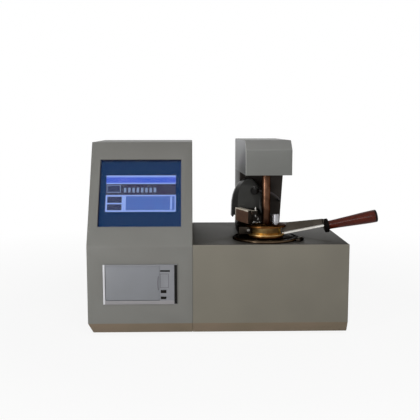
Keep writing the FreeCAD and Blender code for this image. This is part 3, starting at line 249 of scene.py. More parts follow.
@dataclass(frozen=True)
class HeightShaded(Enamel):
    """Enamel whose second colour takes over towards the top of the piece: painted light and shade by height.
    """

    foot: float = 352.0 * MM
    top: float = 416.0 * MM

    def texture(self, tree: NodeTree, shader: Node, place: NodeSocket) -> None:
        """Adds the painted blend of light and shade by height, and the fine relief.

        Args:
            tree: The material's node tree.
            shader: Its shader.
            place: Object coordinates, in metres.
        """
        height = add(tree, "ShaderNodeSeparateXYZ", {0: place}).outputs["Z"]
        rise = add(tree, "ShaderNodeMapRange", {"Value": height, "From Min": self.foot, "From Max": self.top})
        tree.links.new(blended(tree, rise.outputs[0], self.colour, self.second_colour),
                       shader.inputs["Base Color"])
        self.press(tree, shader, noise(tree, place, self.grain))


@dataclass(frozen=True)
class Metal(Finish):
    """A bare metal with the marks of its making, which break up its highlight along one way."""

    metallic: float = 1.0
    relief: float = 0.006 * MM
    spread: float = 0.07
    marks: Marks = Marks.FINE
    axis: tuple[float, float] = (0.0, 0.0)
    mark_width: float = 0.5 * MM
    mark_stretch: float = 40.0
    edge_tint: str = "#ffffff"

    def texture(self, tree: NodeTree, shader: Node, place: NodeSocket) -> None:
        """Adds tarnish and the tool's marks.

        Args:
            tree: The material's node tree.
            shader: Its shader.
            place: Object coordinates, in metres.
        """
        shader.inputs["Specular Tint"].default_value = linear(self.edge_tint)
        if self.second_colour:
            spots = between(tree, noise(tree, place, self.mottle, 3.0), 0.0, 1.0)
            tree.links.new(blended(tree, spots, self.colour, self.second_colour), shader.inputs["Base Color"])
        if self.marks is Marks.TURNED:
            shifted = add(tree, "ShaderNodeMapping",
                          {"Vector": place, "Location": (-self.axis[0], -self.axis[1], 0.0)})
            flat = add(tree, "ShaderNodeVectorMath", {0: shifted.outputs[0], 1: (1.0, 1.0, 0.0)},
                       operation="MULTIPLY")
            radius = add(tree, "ShaderNodeVectorMath", {0: flat.outputs[0]}, operation="LENGTH")
            height = add(tree, "ShaderNodeSeparateXYZ", {0: shifted.outputs[0]}).outputs["Z"]
            along = add(tree, "ShaderNodeCombineXYZ", {"X": radius.outputs["Value"], "Y": height}).outputs[0]
        elif self.marks is Marks.FINE:
            along = place
        else:
            stretch = {Marks.DRAWN_UPRIGHT: (1.0, 1.0, 1.0 / self.mark_stretch),
                       Marks.ALONG_X: (1.0 / self.mark_stretch, 1.0, 1.0)}[self.marks]
            along = add(tree, "ShaderNodeMapping", {"Vector": place, "Scale": stretch}).outputs[0]
        self.press(tree, shader, noise(tree, along, self.mark_width))


@dataclass(frozen=True)
class Timber(Finish):
    """Lacquered hardwood: dark lines of grain run along the piece."""

    spread: float = 0.04
    lean: float = 0.0
    line_width: float = 1.6 * MM
    line_stretch: float = 14.0

    def texture(self, tree: NodeTree, shader: Node, place: NodeSocket) -> None:
        """Adds the grain.

        Args:
            tree: The material's node tree.
            shader: Its shader.
            place: Object coordinates, in metres.
        """
        along = add(tree, "ShaderNodeMapping", {"Vector": place, "Rotation": (0.0, self.lean, 0.0),
                                                "Scale": (1.0 / self.line_stretch, 1.0, 1.0)}).outputs[0]
        lines = noise(tree, along, self.line_width, 4.0)
        tree.links.new(blended(tree, between(tree, lines, 0.0, 1.0), self.colour, self.second_colour),
                       shader.inputs["Base Color"])
        self.press(tree, shader, lines)


@dataclass(frozen=True)
class Clear(Finish):
    """Clear coated glass: light passes, with a very faint reflection on its face."""

    ior: float = 1.15

    def texture(self, tree: NodeTree, shader: Node, place: NodeSocket) -> None:
        """Makes the shader let light through."""
        shader.inputs["Transmission Weight"].default_value = 1.0
        shader.inputs["IOR"].default_value = self.ior


@dataclass(frozen=True)
class Glow(Finish):
    """A lit field of a display: even light of one colour, or of two in soft spots."""

    strength: float = 1.0
    unlit: str = "#050506"

    def texture(self, tree: NodeTree, shader: Node, place: NodeSocket) -> None:
        """Adds the light of the field."""
        shader.inputs["Base Color"].default_value = linear(self.unlit)
        shader.inputs["Specular IOR Level"].default_value = 0.0
        shader.inputs["Emission Strength"].default_value = self.strength
        tone = between(tree, noise(tree, place, self.mottle, 1.0), 0.0, 1.0)
        tree.links.new(blended(tree, tone, self.colour, self.second_colour or self.colour),
                       shader.inputs["Emission Color"])


def middle_of(node: str) -> Vector:
    """Gives the middle of a CAD node's box."""
    low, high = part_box(node)
    return (low + high) / 2


SEAT = middle_of("cup_seat_ring")
FURNACE_AXIS = (SEAT.x, SEAT.y)
HANDLE_TILT = math.radians(10.9)

# Baked enamel on sheet steel: a soft even warm grey whose faint orange peel breaks up the light
ENAMEL = Enamel("textured_enamel", "case_paint", "#7a766b", "#747066", roughness=0.46, mottle=120 * MM)
# The console's own batch of that enamel: a touch cooler than the cabinet beside it
CONSOLE_ENAMEL = Enamel("cool_textured_enamel", "case_paint", "#7a7a76", "#757470", roughness=0.46,
                        mottle=120 * MM)
# Painted shade on the cabinet's top: the enamel made a dark matt field round the furnace
TOP_SHADE_ENAMEL = Enamel("top_painted_shade_enamel", "case_paint", "#403e39", "#373531", roughness=0.5, mottle=150 * MM,
                    specular=0.05)
# Cooler enamel on the arm's head: a shade darker than the cases
HEAD_ENAMEL = Enamel("cool_enamel", "case_paint", "#6f706d", "#6a6b68", specular=0.25)
# The same enamel on the head's slope, made paler as painted light where it leans up to the light: a paler
# strip over the front
SLOPE_LIGHT_ENAMEL = Enamel("slope_painted_light_enamel", "case_paint", "#82827f", "#7e7e7c", roughness=0.4, specular=0.25)
# Painted shade on the head's left side, from the console's shadow: light grey at the top, fading dark towards
# the foot
SIDE_SHADE_ENAMEL = HeightShaded("side_painted_shade_enamel", "case_paint", "#343435", "#a4a5a8")
# Painted highlight along the head's front fold: a fine pale line
FOLD_HIGHLIGHT_ENAMEL = Enamel("fold_painted_highlight_enamel", "case_paint", "#c2c2be", "#aaaaa6", roughness=0.3, relief=0.01 * MM,
                     mottle=9 * MM, specular=0.4)
# Painted shade under the head: the column's enamel made a near-black brown
COLUMN_SHADE_ENAMEL = Enamel("column_painted_shade_enamel", "case_paint", "#3e3936", "#332f2c", mottle=60 * MM, specular=0.1)
# The same enamel on the bottom pans, browned as painted bounce light from a brown table: a warm band along
# the foot
PAN_BOUNCE_ENAMEL = Enamel("pan_painted_bounce_enamel", "case_paint", "#7b6d5d", "#736857")
# Flatter enamel on the rear panels: a duller grey than the shells
PANEL_ENAMEL = Enamel("panel_enamel", "panel_steel", "#6f6e69", "#6a6963", roughness=0.5)
# Smooth dark enamel on the arched housing: nearly black with a soft sheen
ARCH_ENAMEL = Enamel("arch_enamel", "arch_paint", "#393937", "#2f2f2d", roughness=0.34, grain=0.9 * MM,
                     relief=0.015 * MM, mottle=60 * MM, specular=0.15)
# Turned steel made dark, with a dark edge tint, as a painted reflection of dark surroundings: a dark brown
# disc with a soft sheen
FLANGE_DARK_REFLECTION_STEEL = Metal("flange_painted_dark_reflection", "polished_steel", "#5a4a38", "#40352a", roughness=0.24,
                     relief=0.004 * MM, marks=Marks.TURNED, axis=FURNACE_AXIS, mark_width=0.6 * MM,
                     edge_tint="#2e2a26")
# Polished sheet of the igniter's case, made cream white as a painted highlight: a cream flash along its top
CASE_HIGHLIGHT_STEEL = Metal("case_painted_highlight_steel", "polished_steel", "#f6efe0", "#e6dac6", roughness=0.34,
                   metallic=0.15, relief=0.004 * MM, marks=Marks.DRAWN_UPRIGHT)
# Bright drawn steel: a clean grey gleam on small parts
STEEL = Metal("bright_steel", "steel", "#a9a7a3", "#8e8c88", roughness=0.3, mark_width=0.4 * MM)
# Pressed steel of the shank, made dark as a painted reflection of dark surroundings: a dark brownish web
SHANK_DARK_REFLECTION_STEEL = Metal("shank_painted_dark_reflection", "steel", "#403b35", "#312d28", roughness=0.36, relief=0.01 * MM,
                    marks=Marks.ALONG_X, edge_tint="#4a453e")
# Painted highlight on the shank's lower edge: the white line that runs up to the collar
STRIP_HIGHLIGHT_STEEL = Metal("shank_strip_painted_highlight", "steel", "#f7f5f0", "#e6e2db", roughness=0.45, metallic=0.3,
                    marks=Marks.ALONG_X)
# Blackened steel: dull and dark, with only a soft glint
DARK_STEEL = Metal("blackened_steel", "dark_steel", "#2a2520", "#1b1714", roughness=0.38, relief=0.01 * MM,
                   mark_width=0.6 * MM, edge_tint="#1e1a17")
# Zinc plate on the screws: a cool grey with small glints
ZINC = Metal("zinc_plate", "screw_zinc", "#7f7d78", "#65635f", roughness=0.34, relief=0.004 * MM,
             edge_tint="#8a8883")
# Turned brass of the cup: gold brown, brighter where it faces the light; on the lid's wall the same brass is
# a painted highlight
CUP_BRASS_AND_HIGHLIGHT = Metal("turned_brass_and_painted_highlight", "brass", "#e2c284", "#a08050", roughness=0.33, mottle=22 * MM,
              marks=Marks.TURNED, axis=FURNACE_AXIS, edge_tint="#a8863e")
# Brass of the lid and its seat, made dark as a painted reflection of dark surroundings: dark copper brown
# that still flashes gold
LID_DARK_REFLECTION_BRASS = Metal("lid_painted_dark_reflection_brass", "brass", "#744c26", "#4a2f16", roughness=0.34, mottle=18 * MM,
                  marks=Marks.TURNED, axis=FURNACE_AXIS, edge_tint="#4c3218")
# Stamped brass of the shutter, made dark as a painted reflection of dark surroundings: an even dull brown
SHUTTER_DARK_REFLECTION_BRASS = Metal("shutter_painted_dark_reflection_brass", "brass", "#54391d", "#3c2813", roughness=0.32, mottle=14 * MM,
                      edge_tint="#4c3218")
# Drawn copper tube, made dark with a dark edge tint as a painted reflection of dark surroundings: dark brown
# flanks and one upright pale streak
COPPER = Metal("drawn_copper", "copper", "#705241", "#432d21", roughness=0.3, relief=0.004 * MM,
               mottle=26 * MM, marks=Marks.DRAWN_UPRIGHT, edge_tint="#3a2015")
# Satin aluminium of the probe head: a pale speckled grey
ALUMINIUM = Metal("satin_aluminium", "aluminium", "#bcbcbf", "#a4a4a8", roughness=0.36, mark_width=0.4 * MM)
# Spark-eroded black moulding: an even matt black
BLACK_PLASTIC = Finish("black_moulding", "black_plastic", "#131312", "#181716", roughness=0.42,
                       grain=0.5 * MM, relief=0.008 * MM, specular=0.08)
# Polished black bakelite: deep black with a small hard glint
BLACK_GLOSS = Finish("black_bakelite", "black_plastic", "#0c0a09", "#12100e", roughness=0.2, grain=2.0 * MM,
                     relief=0.004 * MM, specular=0.12)
# Matt black bakelite of the collar: a black ring that shows no glint
COLLAR_BAKELITE = Finish("matt_bakelite", "black_plastic", "#0e0c0b", "#151210", roughness=0.6,
                         relief=0.006 * MM, specular=0.02)
# Dark brown bakelite of the grip's end cap: almost black, warmer than the collar
CAP_BAKELITE = Finish("brown_bakelite", "black_plastic", "#1c0a06", "#140705", roughness=0.26,
                      grain=2.0 * MM, relief=0.004 * MM, specular=0.1)
# Pale grey moulding of the printer's face: even and slightly cool
HOUSING_PLASTIC = Moulding("housing_moulding", "printer_plastic", "#85868a", "#7f8085", roughness=0.42,
                           mottle=60 * MM, specular=0.25)
# Painted highlight on the printer's face left of the door: a bright line along its left edge
RIM_HIGHLIGHT_PLASTIC = Moulding("rim_painted_highlight_moulding", "printer_plastic", "#cfcfd3", "#c4c4c8", roughness=0.3,
                       relief=0.005 * MM, mottle=30 * MM)
# Painted light on the printer's face below the door: between the rim and the face in tone
LIP_LIGHT_PLASTIC = Moulding("lip_painted_light_moulding", "printer_plastic", "#918f91", "#8a888a", roughness=0.36,
                       mottle=30 * MM)
# The paper door's own moulding: a shade darker than the face round it
DOOR_PLASTIC = Moulding("door_moulding", "door_plastic", "#818388", "#7d7f83", roughness=0.4, mottle=60 * MM,
                        specular=0.2)
# Darker moulding of thin lines and ribs: it draws them on the pale face
LINE_PLASTIC = Moulding("line_moulding", "door_plastic", "#504d55", "#4a474e", roughness=0.4,
                        relief=0.02 * MM)
# White filling of the switch marks: crisp and matt
MARK_WHITE = Finish("mark_white", "black_plastic", "#d9d8d4", roughness=0.5, grain=0.4 * MM)
# Brown laminate on the igniter's long side: a mid brown with a faint sheen
BROWN_LAMINATE = Finish("brown_laminate", "polished_steel", "#6b5041", "#594033", roughness=0.34,
                        grain=1.5 * MM, relief=0.008 * MM, mottle=9 * MM)
# Lacquered circuit board: glossy green
BOARD_LACQUER = Finish("board_lacquer", "board_laminate", "#1f5a38", "#1a4e30", roughness=0.3, grain=1.5 * MM)
# Moulded rubber feet: dull black that shows no glint
FOOT_RUBBER = Finish("foot_rubber", "foot_rubber", "#1d1c1b", "#242220", roughness=0.75, grain=0.8 * MM,
                     specular=0.2)
# Ground rubber of the platen: a fine dark matt
PLATEN_RUBBER = Finish("platen_rubber", "platen_rubber", "#262523", "#2e2c2a", roughness=0.6, grain=0.3 * MM,
                       specular=0.2)
# Smooth rubber sheath of the leads: black with a soft line of light
LEAD_RUBBER = Finish("lead_rubber", "lead_rubber", "#120f0e", "#1a1715", roughness=0.44, grain=0.8 * MM,
                     specular=0.1)
# Sooted ceramic bead at the igniter's tip: a dark dull dot
BEAD_CERAMIC = Finish("burnt_bead", "steel", "#14100e", "#26201c", roughness=0.35, grain=0.6 * MM,
                      specular=0.3)
# Thermal paper: a clean matt white
PAPER = Finish("thermal_paper", "paper", "#eceae4", "#e4e2dc", roughness=0.8, grain=0.2 * MM,
               relief=0.01 * MM)
# Fibre board round the furnace: a chalky cream with a coarse face
FIBRE_BOARD = Finish("fibre_board", "insulation", "#d8d2c4", "#c6bfaf", roughness=0.95, grain=0.8 * MM,
                     relief=0.08 * MM)
# Mica jacket of the heater band: patchy brownish metal
MICA_JACKET = Metal("heater_jacket", "heater_mica", "#8f877a", "#746c60", roughness=0.45, metallic=0.8,
                    relief=0.02 * MM, mottle=12 * MM)
# Lacquered hardwood: deep red brown with darker grain and a soft long highlight
WOOD = Timber("lacquered_hardwood", "wood", "#5c2112", "#341008", roughness=0.26, relief=0.015 * MM,
              specular=0.14, lean=HANDLE_TILT)
# Coated display glass: it reflects little, so the picture behind it keeps its depth
GLASS = Clear("coated_pane", "glass", "#f2f6fa", roughness=0.03)
# The lit fields of the display are even light: the deep blue desktop round the window comes first
DESKTOP = Glow("field_desktop", "black_plastic", "#022b56", "#062b56", mottle=90 * MM)
# Unlit border of the panel, laid only along its left and top as painted shadow of the opening's edge: a dark
# blue line
DISPLAY_EDGE_SHADOW = Glow("field_edge_shadow", "black_plastic", "#04102c")
# Title bar of the window: clear mid blue
TITLE = Glow("field_title", "black_plastic", "#3c60d0", "#5568d6", mottle=60 * MM)
# Pale lines that frame the window: light blue
PALE_LINE = Glow("field_pale_line", "black_plastic", "#93abea")
# Strip under the title: dark violet grey
STRIP = Glow("field_strip", "black_plastic", "#3f4256", "#37344d", mottle=30 * MM)
# Small dark boxes of the window
CELL = Glow("field_cell", "black_plastic", "#363d5c")
# The window's large page: mid blue
PAGE = Glow("field_page", "black_plastic", "#4f70b8", "#5069b0")
# Plain bars that stand for a row of readings: pale grey blue
BAR = Glow("field_bar", "black_plastic", "#7f90b4")


def pick(piece: Object) -> None:
    """Deselects everything, then selects one piece and makes it active."""
    bpy.ops.object.select_all(action="DESELECT")
    piece.select_set(True)
    bpy.context.view_layer.objects.active = piece


@contextmanager
def editing(piece: Object) -> Iterator[None]:
    """Holds a piece in edit mode, alone, with all of its mesh selected."""
    pick(piece)
    bpy.ops.object.mode_set(mode="EDIT")
    bpy.ops.mesh.select_mode(type="VERT")
    bpy.ops.mesh.select_all(action="SELECT")
    yield
    bpy.ops.object.mode_set(mode="OBJECT")


def select_faces(piece: Object, test: Callable[[Vector, Vector], bool]) -> None:
    """Selects the faces whose middle and normal pass a test, in edit mode.

    Args:
        piece: The piece in edit mode.
        test: Says of a face's middle and its normal whether it is wanted.
    """
    bpy.ops.mesh.select_mode(type="FACE")
    bpy.ops.mesh.select_all(action="DESELECT")
    shape = bmesh.from_edit_mesh(piece.data)
    for face in shape.faces:
        face.select_set(test(face.calc_center_median(), face.normal))
    bmesh.update_edit_mesh(piece.data)


def select_folds(piece: Object) -> None:
    """Selects the outer folds between two wide faces of a sheet, in edit mode."""
    bpy.ops.mesh.select_mode(type="EDGE")
    bpy.ops.mesh.select_all(action="DESELECT")
    shape = bmesh.from_edit_mesh(piece.data)
    for edge in shape.edges:
        wide = len(edge.link_faces) == 2 and min(f.calc_area() for f in edge.link_faces) > FOLD_FACE_AREA
        edge.select_set(wide and edge.is_convex and edge.calc_face_angle() > FOLD_ANGLE)
    bmesh.update_edit_mesh(piece.data)


def settle(piece: Object) -> None:
    """Puts a piece's place into its mesh, so that its object lies at the origin."""
    pick(piece)
    bpy.ops.object.transform_apply(location=True, rotation=True, scale=True)


def ease(piece: Object, width: float, segments: int = 2) -> None:
    """Rounds a piece's sharp edges and smooths its shading.

    Args:
        piece: The piece.
        width: How wide the rounding is, or nought for none.
        segments: How many faces it has across.
    """
    pick(piece)
    if width > 0.0:
        bevel = piece.modifiers.new("eased_edges", "BEVEL")
        bevel.width = width
        bevel.segments = segments
        bevel.limit_method = "ANGLE"
        bevel.angle_limit = SHARP_ANGLE
        bevel.use_clamp_overlap = True
        bpy.ops.object.modifier_apply(modifier=bevel.name)
    bpy.ops.object.shade_smooth_by_angle(angle=SHARP_ANGLE)


def keep_flat(piece: Object) -> None:
    """Keeps a piece's wide flat faces evenly shaded right up to their rounded edges."""
    pick(piece)
    evener = piece.modifiers.new("even_faces", "WEIGHTED_NORMAL")
    evener.mode = "FACE_AREA"
    evener.keep_sharp = True
    bpy.ops.object.modifier_apply(modifier=evener.name)


def eased(node: str, width: float, fold: float = 0.0, segments: int = 2) -> Object:
    """Copies a CAD piece, joins its loose triangles and rounds its edges.

    Args:
        node: The CAD node that the copy stands for.
        width: The rounding of its free edges.
        fold: The outer radius of the folds in its sheet, or nought for none.
        segments: How many faces the free edges' rounding has.

    Returns:
        The new piece.
    """
    piece = bpy.data.objects.new(node + "_eased", nodes[node].data.copy())
    bpy.context.scene.collection.objects.link(piece)
    pick(piece)
    bpy.ops.mesh.customdata_custom_splitnormals_clear()
    with editing(piece):
        bpy.ops.mesh.remove_doubles(threshold=WELD)
        bpy.ops.mesh.dissolve_limited(angle_limit=FLAT_ANGLE)
        if fold > 0.0:
            select_folds(piece)
            bpy.ops.mesh.bevel(offset=fold, segments=4, affect="EDGES")
    ease(piece, width, segments)
    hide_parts(node)
    return piece


def block(name: str, low: Vector, high: Vector, edge: float = 0.0, segments: int = 2) -> Object:
    """Makes a block between two corners, with rounded edges.

    Args:
        name: The piece's name.
        low: Its lowest corner.
        high: Its highest corner.
        edge: The rounding of its edges.
        segments: How many faces the rounding has.

    Returns:
        The new piece.
    """
    bpy.ops.object.select_all(action="DESELECT")
    bpy.ops.mesh.primitive_cube_add(size=1.0, location=(low + high) / 2)
    piece = bpy.context.object
    piece.name = name
    piece.scale = high - low
    settle(piece)
    ease(piece, edge, segments)
    return piece


def lathe(name: str, profile: list[tuple[float, float]], foot: Vector,
          tilt: tuple[float, float, float] = (0, 0, 0), edge: float = 0.0,
          steps: int = LATHE_STEPS) -> Object:
    """Turns a profile about its axis, as on a lathe.

    Args:
        name: The piece's name.
        profile: Radius and height of each corner, from one end round to the other.
        foot: Where the axis has height nought.
        tilt: The turns that lay the upright axis where the piece's axis is.
        edge: The rounding of its corners.
        steps: How many faces go round it.

    Returns:
        The new piece.
    """
    bpy.ops.object.select_all(action="DESELECT")
    bpy.ops.mesh.primitive_plane_add(size=MM)
    piece = bpy.context.object
    piece.name = name
    with editing(piece):
        bpy.ops.mesh.merge(type="CENTER")
        bpy.ops.mesh.select_all(action="SELECT")
        bpy.ops.transform.translate(value=(profile[0][0], 0.0, profile[0][1]))
        for (r0, z0), (r1, z1) in zip(profile, profile[1:]):
            bpy.ops.mesh.extrude_vertices_move(TRANSFORM_OT_translate={"value": (r1 - r0, 0.0, z1 - z0)})
        bpy.ops.mesh.select_all(action="SELECT")
        bpy.ops.mesh.spin(steps=steps, angle=2 * math.pi, center=(0, 0, 0), axis=(0, 0, 1))
        bpy.ops.mesh.select_all(action="SELECT")
        bpy.ops.mesh.remove_doubles(threshold=WELD)
        bpy.ops.mesh.normals_make_consistent(inside=False)
    piece.rotation_euler = Euler(tilt)
    piece.location = foot
    settle(piece)
    ease(piece, edge)
    return piece


def clusters(points: list[Vector], reach: float) -> list[tuple[float, float]]:
    """Gathers flat points into groups, each round its first point.

    Args:
        points: The points.
        reach: How far from its group's first point a point may lie.

    Returns:
        The middle of each group.
    """
    groups: list[list[Vector]] = []
    for point in points:
        home = next((g for g in groups if (g[0] - point).length < reach), None)
        if home is None:
            groups.append([point])
        else:
            home.append(point)
    return [((min(p.x for p in g) + max(p.x for p in g)) / 2, (min(p.y for p in g) + max(p.y for p in g)) / 2)
            for g in groups]


def sleeve(outer: float, inner: float, low: float, high: float) -> list[tuple[float, float]]:
    """Gives the closed profile of a plain ring."""
    return [(inner, low), (outer, low), (outer, high), (inner, high), (inner, low)]


def cut(piece: Object, cutter: Object) -> None:
    """Cuts one closed piece out of another and throws the cutter away.

    Args:
        piece: The piece that is cut.
        cutter: The piece whose space it loses.
    """
    pick(piece)
    boolean = piece.modifiers.new("cut", "BOOLEAN")
    boolean.operation = "DIFFERENCE"
    boolean.solver = "EXACT"
    boolean.object = cutter
    bpy.ops.object.modifier_apply(modifier=boolean.name)
    bpy.data.objects.remove(cutter)


def joined(name: str, pieces: list[Object]) -> Object:
    """Joins alike pieces into one, with its place in its mesh."""
    bpy.ops.object.select_all(action="DESELECT")
    for piece in pieces:
        piece.select_set(True)
    bpy.context.view_layer.objects.active = pieces[0]
    bpy.ops.object.join()
    pieces[0].name = name
    settle(pieces[0])
    return pieces[0]


def repeated(name: str, model: Object, places: list[Matrix]) -> Object:
    """Copies a modelled piece to several places, each copy with its own mesh, and joins the copies."""
    copies = []
    for place in places:
        copy = bpy.data.objects.new(model.name + "_copy", model.data.copy())
        bpy.context.scene.collection.objects.link(copy)
        copy.matrix_world = place
        copies.append(copy)
    bpy.data.objects.remove(model)
    bpy.context.view_layer.update()
    return joined(name, copies)


def dress(piece: Object, finish: Finish, body: Body) -> Object:
    """Gives a piece its finish and its body, and reports it.

    Args:
        piece: The finished piece.
        finish: Its finish.
        body: The body that it moves with.

    Returns:
        The same piece.
    """
    piece.data.materials.clear()
    piece.data.materials.append(finish.material())
    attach(piece, body.value)
    log.info("%s: %s on %s, %d faces", piece.name, finish.name, body.value, len(piece.data.polygons))
    return piece


def paint(piece: Object, finish: Finish, test: Callable[[Vector, Vector], bool]) -> None:
    """Gives the faces that pass a test a finish of their own.

    Args:
        piece: A dressed piece.
        finish: The finish of those faces.
        test: Says of a face's middle and its normal whether it is wanted.
    """
    piece.data.materials.append(finish.material())
    index = len(piece.data.materials) - 1
    for polygon in piece.data.polygons:
        if test(polygon.center, polygon.normal):
            polygon.material_index = index


def dress_node(node: str, finish: Finish) -> None:
    """Gives a CAD node that keeps its shape its finish."""
    piece = nodes[node]
    if not piece.material_slots:
        piece.data.materials.append(finish.material())
    for slot in piece.material_slots:
        slot.material = finish.material()
    log.info("%s: %s", node, finish.name)


@dataclass(frozen=True)
class Lamp:
    """A soft lamp that looks at the middle of the object from a direction."""

    name: str
    direction: tuple[float, float, float]
    power: float
    width: float
    height: float
    mirrored: bool = True


@dataclass
class Studio:
    """The pale floor, the white surroundings, the lamps and the camera."""

    floor_size: float = 14.0
    floor_colour: str = "#f4f4f2"
    near_reach: float = 0.5
    far_reach: float = 1.5
    near_light_share: float = 0.90
    world_strength: float = 0.08
    lamp_distance: float = 1.9
    lamps: tuple[Lamp, ...] = (
        Lamp("key_strip", (-0.64, -0.76, 0.06), 13.0, 0.34, 0.86),
        Lamp("front_softbox", (0.10, -0.80, 0.60), 11.5, 1.40, 1.40, mirrored=False),
        Lamp("low_front_strip", (0.12, -0.93, 0.34), 6.0, 0.80, 0.06),
        Lamp("rear_softbox", (0.40, 1.0, 0.25), 10.0, 1.20, 1.20, mirrored=False))
    camera_right_of_seam: float = 0.26 * MM
    camera_ahead: float = 1420.61 * MM
    camera_height: float = 449.19 * MM
    camera_pitch: float = 82.98
    camera_heading: float = -1.47
    camera_lens: float = 58.65

    def build(self) -> None:
        """Sets the whole studio up."""
        self.set_camera()
        self.lay_floor()
        self.set_world()
        for lamp in self.lamps:
            self.hang_lamp(lamp)
        bpy.context.scene.view_settings.view_transform = "Standard"

    def set_camera(self) -> None:
        """Places the camera at the photograph's view, measured from the console's front edge and seam."""
        low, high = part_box("console_shell")
        place = (high.x + self.camera_right_of_seam, low.y - self.camera_ahead, self.camera_height)
        turn = (math.radians(self.camera_pitch), 0.0, math.radians(self.camera_heading))
        bpy.ops.object.camera_add(location=place, rotation=turn)
        camera = bpy.context.object
        camera.data.lens = self.camera_lens
        bpy.context.scene.camera = camera

    def lay_floor(self) -> None:
        """Lays a pale floor that keeps the shadow near the object and looks white further out."""
        bpy.ops.mesh.primitive_plane_add(size=self.floor_size)
        floor = bpy.context.object
        floor.name = "studio_floor"
        material = bpy.data.materials.new("pale_floor")
        material.use_nodes = True
        tree = material.node_tree
        tree.nodes.clear()
        path = add(tree, "ShaderNodeLightPath")
        seen = add(tree, "ShaderNodeMath",
                   {0: path.outputs["Is Camera Ray"], 1: path.outputs["Is Glossy Ray"]}, operation="MAXIMUM")
        place = add(tree, "ShaderNodeTexCoord").outputs["Object"]
        reach = add(tree, "ShaderNodeVectorMath", {0: place}, operation="LENGTH")
        white = add(tree, "ShaderNodeMapRange", {"Value": reach.outputs["Value"], "From Min": self.near_reach,
                                                 "From Max": self.far_reach, "To Min": self.near_light_share,
                                                 "To Max": 1.0})
        share = add(tree, "ShaderNodeMath", {0: seen.outputs[0], 1: white.outputs[0]}, operation="MULTIPLY")
        matt = add(tree, "ShaderNodeBsdfDiffuse", {"Color": linear(self.floor_colour)})
        light = add(tree, "ShaderNodeEmission", {"Color": (1.0, 1.0, 1.0, 1.0), "Strength": 1.0})
        mix = add(tree, "ShaderNodeMixShader", {0: share.outputs[0], 1: matt.outputs[0], 2: light.outputs[0]})
        add(tree, "ShaderNodeOutputMaterial", {"Surface": mix.outputs[0]})
        floor.data.materials.append(material)

    def set_world(self) -> None:
        """Makes the surroundings white to the eye and in reflections, and dim as a light."""
        world = bpy.data.worlds.new("studio_world")
        bpy.context.scene.world = world
        world.use_nodes = True
        tree = world.node_tree
        tree.nodes.clear()
        path = add(tree, "ShaderNodeLightPath")
        camera_or_gloss = add(tree, "ShaderNodeMath", {0: path.outputs["Is Camera Ray"],
                                                       1: path.outputs["Is Glossy Ray"]}, operation="MAXIMUM")
        seen = add(tree, "ShaderNodeMath",
                   {0: camera_or_gloss.outputs[0], 1: path.outputs["Is Transmission Ray"]},
                   operation="MAXIMUM")
        strength = add(tree, "ShaderNodeMapRange", {"Value": seen.outputs[0], "To Min": self.world_strength,
                                                    "To Max": 1.0})
        light = add(tree, "ShaderNodeBackground",
                    {"Color": (1.0, 1.0, 1.0, 1.0), "Strength": strength.outputs[0]})
        add(tree, "ShaderNodeOutputWorld", {"Surface": light.outputs[0]})

    def hang_lamp(self, lamp: Lamp) -> None:
        """Hangs one soft lamp; one that isn't mirrored lights the paint but leaves no patch on the metal."""
        low, high = cad_box
        middle = (Vector(low) + Vector(high)) / 2
        away = Vector(lamp.direction).normalized()
        bpy.ops.object.light_add(type="AREA", location=middle + away * self.lamp_distance)
        light = bpy.context.object
        light.name = lamp.name
        light.data.shape = "RECTANGLE"
        light.data.energy = lamp.power
        light.data.size = lamp.width
        light.data.size_y = lamp.height
        light.visible_glossy = lamp.mirrored
        light.rotation_euler = away.to_track_quat("Z", "Y").to_euler()


